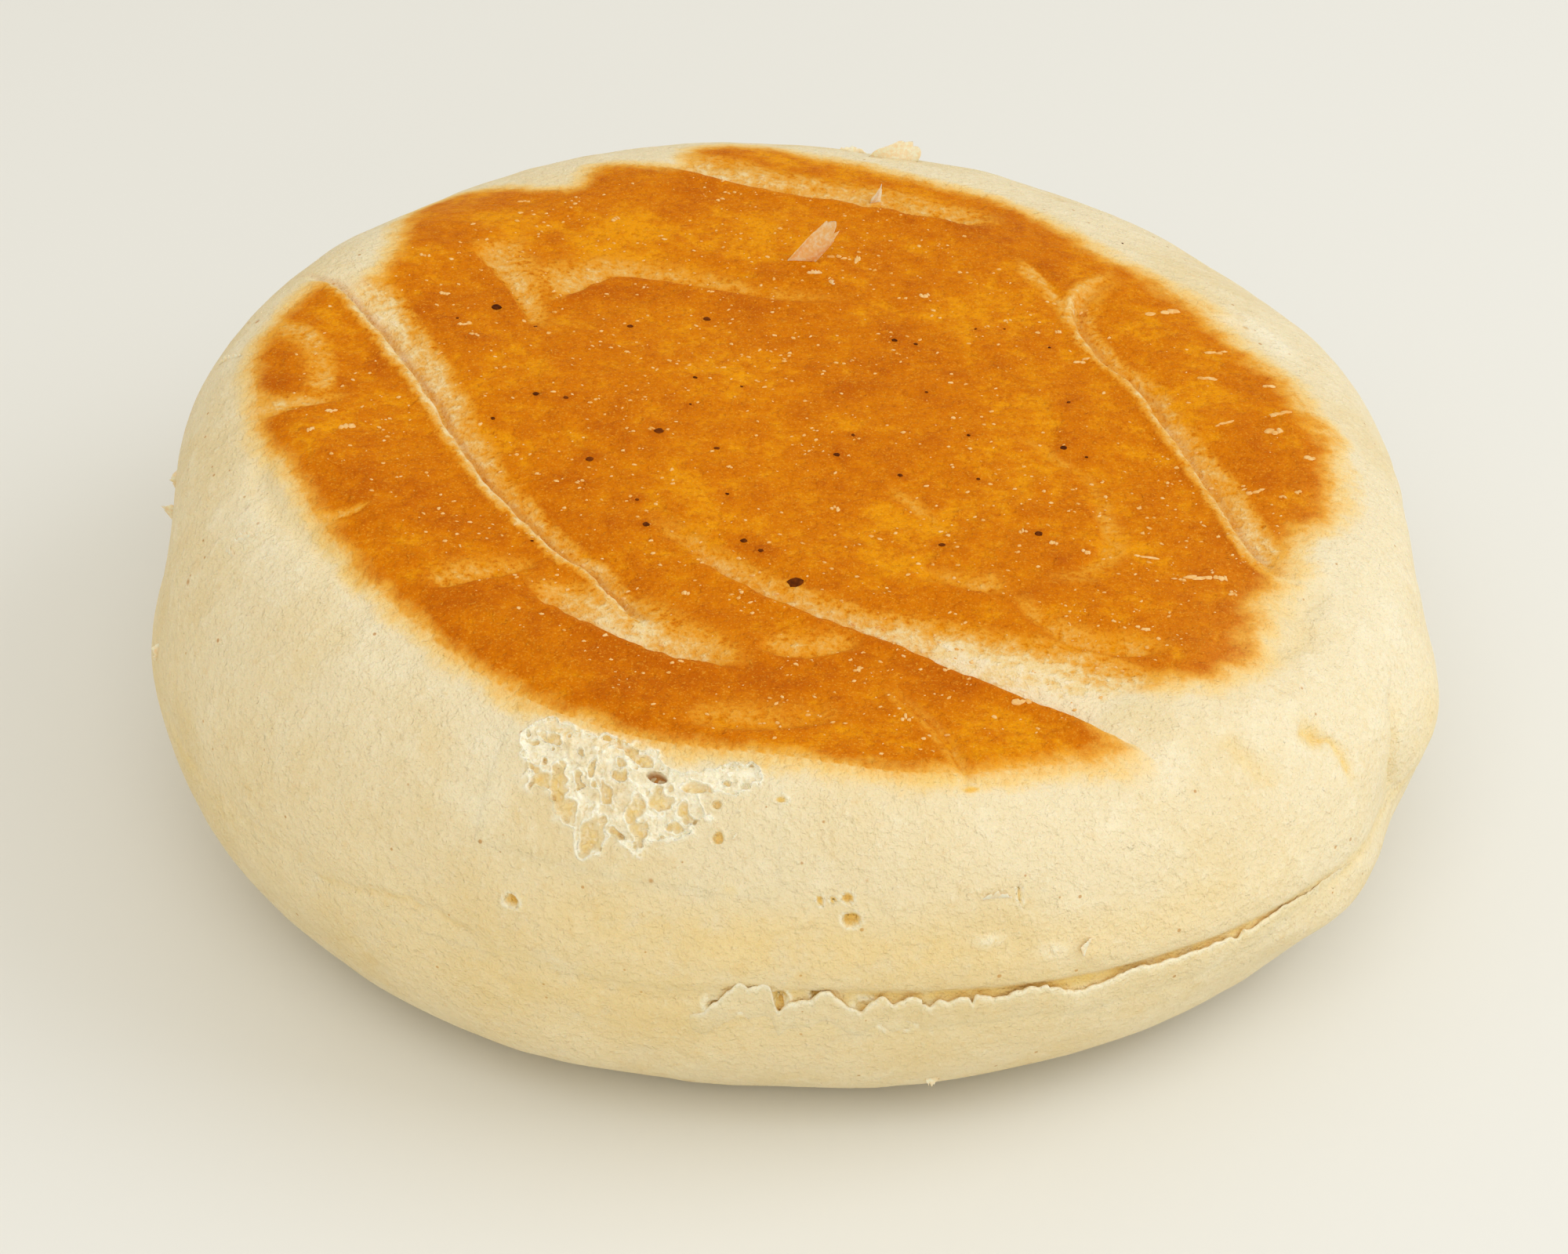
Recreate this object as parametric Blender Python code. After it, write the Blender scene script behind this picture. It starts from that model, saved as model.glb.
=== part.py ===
# English muffin, one solid of griddled dough
# Sizes are in millimetres and angles in degrees until make_mesh turns them into metres.
# The muffin rests on its flat underside at Z = 0, with +Z up and -Y towards the viewer.
# A place on the side is (direction, level): direction is the angle round the muffin from
# +X, and level is 0 at the widest ring, 90 at the rim of the top, -90 at the rim of the base.

import bpy
import numpy as np

# Whole muffin
WIDEST_RADIUS = 49.0
TOP_FACE_RADIUS = 32.6
BASE_FACE_RADIUS = 34.2
TOP_HEIGHT = 30.8
TOP_SLOPE_X = -0.09
TOP_SLOPE_Y = 0.04
RING_HEIGHT = 14.5
SIDE_FULLNESS = 2.2

# Shift that puts the origin under the middle of the muffin's box
MIDDLE_SHIFT = (0.55, -0.65, 0.0)

# Uneven outlines: number of lobes, size of the swing, direction of the first lobe
WIDEST_LOBES = ((1, 0.25, 115), (2, 0.5, 85), (3, 0.75, 73), (4, 0.95, 44))
TOP_LOBES = ((1, 5.6, 256), (2, 2.4, -44), (4, 2.3, 1))
BASE_LOBES = ((1, 0.4, 28), (2, 3.6, 75))
RING_LOBES = ((1, 1.0, 170),)

# Dough surface: cell size, height and seed of each layer of unevenness
DOUGH_LUMPS = ((17.0, 0.38, 11), (7.0, 0.16, 12), (3.0, 0.06, 13))

# Creases of the top face. Each path runs with its open, sloping side on the left.
# depth, ramp (width of the sloping side), lip (height of the raised edge on the right)
CREASES = {
    "long left crease": {
        "path": ((-39, 14), (-36, 11.5), (-33, 7), (-28, -2), (-22.5, -11), (-17.5, -19.5),
                 (-15, -22.5), (-10, -29.5)),
        "depth": 1.1, "ramp": 2.6, "lip": 0.30,
    },
    "end of the long crease": {
        "path": ((-19, -25), (-15.5, -28.2), (-12, -30.2), (-4, -32.7)),
        "depth": 0.8, "ramp": 2.8, "lip": 0.25,
    },
    "front crease": {
        "path": ((-10, -15.5), (-5, -21), (0, -26), (8, -29.6), (15, -33.3), (21, -37)),
        "depth": 1.0, "ramp": 3.0, "lip": 0.25,
    },
    "right crease": {
        "path": ((24, 19), (21, 14.2), (21.3, 10.5), (24.5, 4.8), (26.8, -1), (29, -8),
                 (30.8, -13.2), (34, -18)),
        "depth": 1.1, "ramp": 2.6, "lip": 0.30,
    },
    "far crease": {
        "path": ((-10, 32), (-4, 30), (3, 28.2), (13, 26)),
        "depth": 0.7, "ramp": 2.6, "lip": 0.15,
    },
    "far left crease": {
        "path": ((-26, 15.5), (-23, 13), (-21, 10.5), (-20, 6)),
        "depth": 0.4, "ramp": 2.4, "lip": 0.10,
    },
    "middle crease": {
        "path": ((-18, 17), (-15, 14.8), (-8, 14.2), (2, 11.5)),
        "depth": 0.4, "ramp": 2.4, "lip": 0.10,
    },
}
CREASE_STEEPNESS = 0.75
CREASE_TAPER = 0.16
CREASE_SAMPLES = 160

# Seam round the side, where the upper dough overhangs the lower
SEAM_LEVEL = 2.5
SEAM_LOBES = ((1, 1.2, 200), (3, 1.0, 20), (7, 0.7, 50))
SEAM_DEPTH = 0.9
SEAM_HALF_WIDTH = 3.2
SEAM_OVERHANG = 0.45
SEAM_OVERHANG_LEVEL = 8.0
SEAM_OVERHANG_SPREAD = 6.0
SEAM_FRONT = -72
SEAM_FRONT_SPREAD = 32
SEAM_ELSEWHERE = 0.3

# Torn flaps just below the seam, in front
FLAP_FRONT = (-99, -60)
FLAP_LEVEL = -6.0
FLAP_SPREAD = 5.0
FLAP_HEIGHT = 0.5
FLAP_CELL = 3.2
FLAP_SEED = 21

# Torn patch of open crumb under the top's rim: direction, level, half sizes, depth
PATCH_CENTRE = (-106, 52)
PATCH_HALF_SIZE = (9.5, 20)
PATCH_DEPTH = 0.7
PATCH_RELIEF = 0.5
PATCH_CELL = 2.6
PATCH_SEED = 31

# Pits in the skin: direction, level, radius, depth
PITS = (
    (-103, 61, 1.3, 1.1),
    (-107.5, 38, 1.0, 1.0),
    (-113.5, 16.5, 0.9, 0.8),
    (-97.5, -3, 1.2, 0.9),
    (-92.5, -1, 0.9, 0.8),
    (-86.5, 25, 1.0, 0.9),
    (-86.8, 30, 0.7, 0.5),
    (-85.5, -4, 0.8, 0.6),
    (-73, 29, 0.7, 0.5),
)

# Broad dents (below zero) and bulges: direction, level, half spreads, height
SWELLS = (
    (-33, 3, 5, 16, -1.2),
    (-23, 10, 6, 14, 0.6),
    (-42, -12, 6, 10, 0.3),
    (-42, 36, 3, 9, -0.35),
    (-50.5, 52, 2.5, 10, -0.25),
    (-173, 20, 9, 18, -1.2),
    (-165, 2, 6, 12, 0.4),
    (163, 38, 9, 16, -0.5),
    (150, 48, 12, 20, -0.3),
    (40, 42, 10, 20, -0.5),
    (20, 28, 7, 16, 0.3),
    (-4, 18, 9, 14, -2.0),
    (-50, -25, 10, 18, -0.8),
    (-68, 9, 2, 5, 0.3),
    (-82, -42, 9, 16, 0.35),
    (-112, -36, 10, 16, 0.6),
    (-135, -25, 9, 16, -0.4),
)

# Stiff flakes of skin standing on the top: direction, level, half length and width, turn, height
FLAKES = (
    (86, 122, 2.2, 0.9, 62, 1.1),
    (80, 70, 2.0, 0.8, -10, 0.9),
)

# Fineness of the worked surface, and the number of triangles left in the solid
ROUND_STEPS = 420
TOP_STEPS = 46
UPPER_STEPS = 60
LOWER_STEPS = 44
BASE_STEPS = 4
FACET_COUNT = 10500
BASE_FLATNESS = 0.02

# Colour and finish of the dough, from the photo's pale skin
DOUGH_COLOUR = (0.79, 0.61, 0.33, 1.0)
DOUGH_ROUGHNESS = 0.72

MILLIMETRE = 0.001


def clear_scene():
    """Remove every object of the open scene."""
    for item in list(bpy.data.objects):
        bpy.data.objects.remove(item, do_unlink=True)


def lobed(direction, mean, lobes):
    """A mean value with a cosine swing for each lobe."""
    total = np.full(direction.shape, float(mean))
    for count, size, first in lobes:
        total += size * np.cos(count * np.radians(direction - first))
    return total


def bell(value, centre, spread):
    """A smooth bump of height one."""
    return np.exp(-((value - centre) / spread) ** 2)


def turn_between(direction, centre):
    """Angle from centre to direction, from -180 to 180."""
    return (direction - centre + 180) % 360 - 180


def dough_noise(places, cell, seed):
    """Smooth unevenness from -1 to 1: random heights on a lattice, blended between."""
    size = 32
    heights = np.random.default_rng(seed).uniform(-1, 1, (size, size, size))
    scaled = places / cell + size
    corner = np.floor(scaled).astype(int)
    part = scaled - corner
    part = part * part * (3 - 2 * part)
    total = np.zeros(places.shape[:-1])
    for step in np.ndindex(2, 2, 2):
        weight = np.ones(places.shape[:-1])
        for axis in range(3):
            share = part[..., axis]
            weight = weight * (share if step[axis] else 1 - share)
        index = (corner + np.array(step)) % size
        total += weight * heights[index[..., 0], index[..., 1], index[..., 2]]
    return total


def face_height(x, y):
    """Height of the leaning top face over a place."""
    return TOP_HEIGHT + TOP_SLOPE_X * x + TOP_SLOPE_Y * y


def smooth_form():
    """Rings of places from the middle of the top over the side to the middle of the base.

    Returns the places, the outward directions, and each place's direction and level.
    The top's level runs on from 90 at its rim to 180 at its middle, the base's to -180.
    """
    direction = np.linspace(0, 360, ROUND_STEPS, endpoint=False)
    top = np.linspace(180, 90, TOP_STEPS, endpoint=False)
    upper = np.linspace(90, 0, UPPER_STEPS, endpoint=False)
    lower = np.linspace(0, -90, LOWER_STEPS, endpoint=False)
    base = np.linspace(-90, -180, BASE_STEPS + 1)
    level = np.concatenate((top, upper, lower, base))
    direction, level = np.meshgrid(direction, level)

    widest = lobed(direction, WIDEST_RADIUS, WIDEST_LOBES)
    top_rim = lobed(direction, TOP_FACE_RADIUS, TOP_LOBES)
    base_rim = lobed(direction, BASE_FACE_RADIUS, BASE_LOBES)
    ring = lobed(direction, RING_HEIGHT, RING_LOBES)
    turn = np.radians(direction)
    rim_height = face_height(top_rim * np.cos(turn), top_rim * np.sin(turn))

    tilt = np.radians(np.clip(np.abs(level), 0, 90))
    out = np.cos(tilt) ** (2 / SIDE_FULLNESS)
    rise = np.sin(tilt) ** (2 / SIDE_FULLNESS)
    inward = np.clip((180 - np.abs(level)) / 90, 0, 1)
    above = level > 0
    rim = np.where(above, top_rim, base_rim)
    radius = np.where(np.abs(level) > 90, rim * inward, rim + (widest - rim) * out)
    x = radius * np.cos(turn)
    y = radius * np.sin(turn)
    side_height = np.where(above, ring + (rim_height - ring) * rise, ring * (1 - rise))
    z = np.where(level > 90, face_height(x, y), side_height)
    z = np.where(level < -90, 0, z)

    lean = np.radians(np.clip(level, -90, 90))
    outward = np.stack((np.cos(turn) * np.cos(lean), np.sin(turn) * np.cos(lean),
                        np.sin(lean)), -1)
    return np.stack((x, y, z), -1), outward, direction, level


def smooth_path(points):
    """Samples along a curve through the points, by Catmull and Rom's rule."""
    points = np.array(points, float)
    ends = np.vstack((2 * points[0] - points[1], points, 2 * points[-1] - points[-2]))
    along = np.linspace(0, len(points) - 1, CREASE_SAMPLES)
    first = np.minimum(along.astype(int), len(points) - 2)
    t = (along - first)[:, None]
    a, b, c, d = ends[first], ends[first + 1], ends[first + 2], ends[first + 3]
    return 0.5 * (2 * b + (c - a) * t + (2 * a - 5 * b + 4 * c - d) * t ** 2
                  + (3 * b - a - 3 * c + d) * t ** 3)


def crease_height(x, y, crease):
    """Height change near one crease: steep on its right, sloping up over its ramp on the left."""
    path = smooth_path(crease["path"])
    heading = np.gradient(path, axis=0)
    heading /= np.linalg.norm(heading, axis=1)[:, None]
    gap_x = x[..., None] - path[:, 0]
    gap_y = y[..., None] - path[:, 1]
    nearest = np.argmin(gap_x ** 2 + gap_y ** 2, axis=-1)
    pick = np.expand_dims(nearest, -1)
    off_x = np.take_along_axis(gap_x, pick, -1)[..., 0]
    off_y = np.take_along_axis(gap_y, pick, -1)[..., 0]
    run = heading[nearest]
    side = run[..., 0] * off_y - run[..., 1] * off_x
    beyond = np.abs(run[..., 0] * off_x + run[..., 1] * off_y)
    along = nearest / (CREASE_SAMPLES - 1)
    taper = np.clip(np.minimum(along, 1 - along) / CREASE_TAPER, 0, 1)
    taper = taper * taper * (3 - 2 * taper) * np.exp(-(beyond / crease["ramp"]) ** 2)
    drop = np.where(side > 0, np.exp(-np.abs(side) / crease["ramp"]),
                    bell(side, 0, CREASE_STEEPNESS))
    edge = crease["lip"] * bell(side, -2 * CREASE_STEEPNESS, CREASE_STEEPNESS)
    return taper * (edge - crease["depth"] * drop)


def crease_relief(places, level):
    """All creases together, on the top face and a little over its rim."""
    x = places[..., 0]
    y = places[..., 1]
    total = np.zeros(x.shape)
    for crease in CREASES.values():
        total += crease_height(x, y, crease)
    return total * np.clip((level - 45) / 25, 0, 1)


def seam_relief(direction, level):
    """A groove round the side, under an overhang that is strongest in front."""
    centre = lobed(direction, SEAM_LEVEL, SEAM_LOBES)
    front = bell(turn_between(direction, SEAM_FRONT), 0, SEAM_FRONT_SPREAD)
    strength = SEAM_ELSEWHERE + (1 - SEAM_ELSEWHERE) * front
    groove = -SEAM_DEPTH * bell(level, centre, SEAM_HALF_WIDTH)
    over = SEAM_OVERHANG * bell(level, centre + SEAM_OVERHANG_LEVEL, SEAM_OVERHANG_SPREAD)
    return strength * (groove + over)


def flap_relief(places, direction, level):
    """Jagged torn edges standing up below the seam."""
    start, end = FLAP_FRONT
    turned = turn_between(direction, (start + end) / 2)
    reach = (end - start) / 2
    band = np.clip((reach - np.abs(turned)) / 5, 0, 1) * bell(level, FLAP_LEVEL, FLAP_SPREAD)
    ragged = dough_noise(places, FLAP_CELL, FLAP_SEED)
    return FLAP_HEIGHT * band * ragged


def patch_relief(places, direction, level):
    """The torn patch: a shallow recess with an uneven outline and open cells."""
    across = turn_between(direction, PATCH_CENTRE[0]) / PATCH_HALF_SIZE[0]
    up = (level - PATCH_CENTRE[1]) / PATCH_HALF_SIZE[1]
    wander = 0.3 * dough_noise(places, 2 * PATCH_CELL, PATCH_SEED)
    inside = np.clip((1 - np.hypot(across, up) + wander) / 0.3, 0, 1)
    cells = np.abs(dough_noise(places, PATCH_CELL, PATCH_SEED + 1))
    return inside * (PATCH_RELIEF * (1 - 2.5 * cells) - PATCH_DEPTH)


def spot_distance(places, direction, level, spot):
    """Distance in millimetres from a spot given by its direction and level."""
    miss = np.abs(turn_between(direction, spot[0])) + 0.5 * np.abs(level - spot[1])
    middle = places[np.unravel_index(np.argmin(miss), miss.shape)]
    return np.linalg.norm(places - middle, axis=-1)


def pit_relief(places, direction, level):
    """Small pits torn in the skin, each with a slightly raised rim."""
    total = np.zeros(level.shape)
    for pit in PITS:
        distance = spot_distance(places, direction, level, pit)
        total -= pit[3] * bell(distance, 0, pit[2])
        total += 0.2 * pit[3] * bell(distance, 1.8 * pit[2], 0.5 * pit[2])
    return total


def flake_relief(places, direction, level):
    """Stiff flakes, each a short ridge turned in plan."""
    total = np.zeros(level.shape)
    for flake in FLAKES:
        miss = np.abs(turn_between(direction, flake[0])) + 0.5 * np.abs(level - flake[1])
        middle = places[np.unravel_index(np.argmin(miss), miss.shape)]
        gap = places - middle
        turn = np.radians(flake[4])
        along = gap[..., 0] * np.cos(turn) + gap[..., 1] * np.sin(turn)
        across = gap[..., 1] * np.cos(turn) - gap[..., 0] * np.sin(turn)
        total += flake[5] * bell(along, 0, flake[2]) * bell(across, 0, flake[3])
    return total


def swell_relief(direction, level):
    """Broad dents and bulges of the side."""
    total = np.zeros(level.shape)
    for centre, height, wide, tall, amount in SWELLS:
        total += amount * bell(turn_between(direction, centre), 0, wide) * bell(level, height, tall)
    return total


def muffin_rings():
    """The smooth form with all its relief, kept flat underneath."""
    places, outward, direction, level = smooth_form()
    relief = crease_relief(places, level)
    relief += seam_relief(direction, level)
    relief += flap_relief(places, direction, level)
    relief += patch_relief(places, direction, level)
    relief += pit_relief(places, direction, level)
    relief += flake_relief(places, direction, level)
    relief += swell_relief(direction, level)
    for cell, height, seed in DOUGH_LUMPS:
        relief += height * dough_noise(places, cell, seed)
    relief *= np.clip((level + 85) / 30, 0, 1)
    return places + outward * relief[..., None]


def make_mesh(rings):
    """Join the rings into one closed skin, with one point at the middle of each face."""
    rows, columns = rings.shape[:2]
    top_point = rings[0].mean(axis=0)
    base_point = rings[-1].mean(axis=0)
    inner = rings[1:-1].reshape(-1, 3)
    points = (np.vstack((inner, top_point, base_point)) + MIDDLE_SHIFT) * MILLIMETRE
    index = np.arange(len(inner)).reshape(rows - 2, columns)
    after = np.roll(index, -1, axis=1)
    faces = np.stack((index[:-1], index[1:], after[1:], after[:-1]), -1).reshape(-1, 4).tolist()
    top = len(inner)
    base = top + 1
    faces += [(top, int(a), int(b)) for a, b in zip(index[0], after[0])]
    faces += [(base, int(b), int(a)) for a, b in zip(index[-1], after[-1])]
    mesh = bpy.data.meshes.new("muffin")
    mesh.from_pydata(points.tolist(), [], faces)
    mesh.update()
    return mesh


def thin_facets(item):
    """Keep the facets that carry the shape, and level the base."""
    triangles = sum(len(face.vertices) - 2 for face in item.data.polygons)
    thinning = item.modifiers.new("fewer facets", "DECIMATE")
    thinning.ratio = FACET_COUNT / triangles
    seen = item.evaluated_get(bpy.context.evaluated_depsgraph_get())
    mesh = bpy.data.meshes.new_from_object(seen)
    item.modifiers.clear()
    item.data = mesh
    points = np.empty(3 * len(mesh.vertices), np.float32)
    mesh.vertices.foreach_get("co", points)
    points = points.reshape(-1, 3)
    points[points[:, 2] < BASE_FLATNESS * MILLIMETRE, 2] = 0
    mesh.vertices.foreach_set("co", points.ravel())
    mesh.update()


def dough_material():
    """Pale, dry, slightly rough dough."""
    material = bpy.data.materials.new("dough")
    material.use_nodes = True
    surface = material.node_tree.nodes["Principled BSDF"]
    surface.inputs["Base Color"].default_value = DOUGH_COLOUR
    surface.inputs["Roughness"].default_value = DOUGH_ROUGHNESS
    surface.inputs["Metallic"].default_value = 0.0
    material.diffuse_color = DOUGH_COLOUR
    return material


def make_muffin():
    """The muffin as one object."""
    mesh = make_mesh(muffin_rings())
    item = bpy.data.objects.new("muffin", mesh)
    bpy.context.scene.collection.objects.link(item)
    thin_facets(item)
    item.data.materials.append(dough_material())
    item.data.shade_smooth()
    return item


clear_scene()
make_muffin()
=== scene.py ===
import bpy
import numpy as np
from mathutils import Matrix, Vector


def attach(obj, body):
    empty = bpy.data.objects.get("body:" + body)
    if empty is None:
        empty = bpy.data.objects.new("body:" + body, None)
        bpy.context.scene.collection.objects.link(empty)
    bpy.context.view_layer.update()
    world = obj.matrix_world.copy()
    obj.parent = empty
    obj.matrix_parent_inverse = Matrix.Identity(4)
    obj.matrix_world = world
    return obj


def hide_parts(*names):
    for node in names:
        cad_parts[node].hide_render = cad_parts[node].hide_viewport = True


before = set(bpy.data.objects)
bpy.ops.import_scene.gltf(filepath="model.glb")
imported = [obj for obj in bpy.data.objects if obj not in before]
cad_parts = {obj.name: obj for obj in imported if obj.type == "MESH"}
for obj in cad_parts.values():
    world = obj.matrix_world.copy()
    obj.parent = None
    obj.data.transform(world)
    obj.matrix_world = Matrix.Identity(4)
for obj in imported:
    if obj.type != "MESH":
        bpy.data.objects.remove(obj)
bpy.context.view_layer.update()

# English muffin, dressed over its solid. Lengths are in millimetres and angles in degrees
# until placeMesh turns them into metres. A place on the skin is (direction, level): the
# direction runs round the muffin from +X, and level is 0 at the widest ring, 90 at the rim
# of the top, 180 at its middle, -90 at the rim of the base and -180 at its middle.

millimetre = 0.001


# Small helpers

def lobed(direction, mean, lobes):  # a mean with one cosine swing for each (count, size, first)
    total = np.full(np.shape(direction), float(mean))
    for count, size, first in lobes:
        total += size * np.cos(count * np.radians(direction - first))
    return total


def bell(value, centre, spread):  # smooth bump of height one
    return np.exp(-((value - centre) / spread) ** 2)


def softStep(value, low, high):  # 0 below low, 1 above high, smooth between
    t = np.clip((value - low) / (high - low), 0, 1)
    return t * t * (3 - 2 * t)


def turnBetween(direction, centre):  # angle from centre to direction, -180 to 180
    return (direction - centre + 180) % 360 - 180


def doughNoise(places, cell, seed):  # random heights from -1 to 1 on a lattice, blended between
    size = 32
    heights = np.random.default_rng(seed).uniform(-1, 1, (size, size, size))
    scaled = places / cell + size
    corner = np.floor(scaled).astype(int)
    part = scaled - corner
    part = part * part * (3 - 2 * part)
    total = np.zeros(places.shape[:-1])
    for step in np.ndindex(2, 2, 2):
        weight = np.ones(places.shape[:-1])
        for axis in range(3):
            weight = weight * (part[..., axis] if step[axis] else 1 - part[..., axis])
        index = (corner + np.array(step)) % size
        total += weight * heights[index[..., 0], index[..., 1], index[..., 2]]
    return total


def layered(places, layers):  # the sum of noises, each given as (height, cell, seed)
    return sum(height * doughNoise(places, cell, seed) for height, cell, seed in layers)


def smoothPath(points, samples, closed=False):  # a smooth curve through all the points
    points = np.array(points, float)
    if closed:
        ends = np.vstack((points[-1], points, points[0], points[1]))
        last = len(points)
    else:
        ends = np.vstack((2 * points[0] - points[1], points, 2 * points[-1] - points[-2]))
        last = len(points) - 1
    along = np.linspace(0, last, samples, endpoint=not closed)
    first = np.minimum(along.astype(int), last - 1)
    t = (along - first)[:, None]
    a, b, c, d = ends[first], ends[first + 1], ends[first + 2], ends[first + 3]
    return 0.5 * (2 * b + (c - a) * t + (2 * a - 5 * b + 4 * c - d) * t ** 2
                  + (3 * b - a - 3 * c + d) * t ** 3)


def besidePath(x, y, path, reach=12.0, closed=False):
    # For each place: the signed distance to the path (left of it is positive), how far along
    # the path from 0 to 1, and how far past its end. Places beyond reach keep the value reach.
    side, along, beyond = np.zeros((3, *x.shape))
    side += reach
    (lowX, lowY), (highX, highY) = path.min(axis=0) - reach, path.max(axis=0) + reach
    near = closed | ((x > lowX) & (x < highX) & (y > lowY) & (y < highY))
    if not near.any():
        return side, along, beyond
    if closed:
        heading = np.roll(path, -1, axis=0) - np.roll(path, 1, axis=0)
    else:
        heading = np.gradient(path, axis=0)
    heading = heading / np.linalg.norm(heading, axis=1)[:, None]
    nearX, nearY = x[near], y[near]
    nearest = np.zeros(nearX.shape, int)
    for chunk in np.array_split(np.arange(nearX.size), max(1, nearX.size // 20000)):
        gap = (nearX[chunk, None] - path[:, 0]) ** 2 + (nearY[chunk, None] - path[:, 1]) ** 2
        nearest[chunk] = gap.argmin(axis=1)
    offX, offY = nearX - path[nearest, 0], nearY - path[nearest, 1]
    runX, runY = heading[nearest].T
    side[near] = runX * offY - runY * offX
    if closed:  # at a corner the distance itself, with the same sign
        side[near] = np.sign(side[near]) * np.hypot(offX, offY)
    along[near] = nearest / (len(path) - 1)
    beyond[near] = np.abs(runX * offX + runY * offY)
    return side, along, beyond


# The muffin's form, the same as the solid's

muffinForm = {
    "widestRadius": 49.0,
    "topRadius": 32.6,
    "baseRadius": 34.2,
    "topHeight": 30.8,
    "topSlope": (-0.09, 0.04),
    "ringHeight": 14.5,
    "sideFullness": 2.2,
    "widestLobes": ((1, 0.25, 115), (2, 0.5, 85), (3, 0.75, 73), (4, 0.95, 44)),
    "topLobes": ((1, 5.6, 256), (2, 2.4, -44), (4, 2.3, 1)),
    "baseLobes": ((1, 0.4, 28), (2, 3.6, 75)),
    "ringLobes": ((1, 1.0, 170),),
    "middleShift": (0.55, -0.65, 0.0),
    "lumps": ((0.38, 17.0, 11), (0.16, 7.0, 12), (0.06, 3.0, 13), (0.035, 1.6, 14)),
}


def faceHeight(x, y):  # the leaning plane of the top face
    slopeX, slopeY = muffinForm["topSlope"]
    return muffinForm["topHeight"] + slopeX * x + slopeY * y


def smoothForm(direction, level):
    # The bare form: a lobed outline for the widest ring and the two rims, joined by quarter
    # ovals with the given fullness, a leaning flat top and a level base.
    form = muffinForm
    widest = lobed(direction, form["widestRadius"], form["widestLobes"])
    topRim = lobed(direction, form["topRadius"], form["topLobes"])
    baseRim = lobed(direction, form["baseRadius"], form["baseLobes"])
    ring = lobed(direction, form["ringHeight"], form["ringLobes"])
    turn = np.radians(direction)
    rimHeight = faceHeight(topRim * np.cos(turn), topRim * np.sin(turn))
    tilt = np.radians(np.clip(np.abs(level), 0, 90))
    out = np.abs(np.cos(tilt)) ** (2 / form["sideFullness"])
    rise = np.sin(tilt) ** (2 / form["sideFullness"])
    inward = np.clip((180 - np.abs(level)) / 90, 0, 1)
    rim = np.where(level > 0, topRim, baseRim)
    radius = np.where(np.abs(level) > 90, rim * inward, rim + (widest - rim) * out)
    x = radius * np.cos(turn)
    y = radius * np.sin(turn)
    side = np.where(level > 0, ring + (rimHeight - ring) * rise, ring * (1 - rise))
    z = np.where(level > 90, faceHeight(x, y), side)
    z = np.where(level < -90, 0, z)
    lean = np.radians(np.clip(level, -90, 90))
    outward = np.stack((np.cos(turn) * np.cos(lean), np.sin(turn) * np.cos(lean),
                        np.sin(lean)), -1)
    return np.stack((x, y, z), -1), outward


def topPlace(x, y):  # direction and level of a place on the top face
    direction = np.degrees(np.arctan2(y, x))
    rim = lobed(direction, muffinForm["topRadius"], muffinForm["topLobes"])
    return direction, 180 - 90 * np.hypot(x, y) / rim


# Folds and untoasted bands of the top. Each path runs with its open, sloping side on its left.
# A row gives depth, ramp and lip, which shape the fold, and line, the strength of the painted
# shade along its bottom and of its pale lip; the band's width and then its paleness at the path's
# start, middle and end; how softly its open side and its edge fade; the shares left at the two
# ends; and the path.

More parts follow.
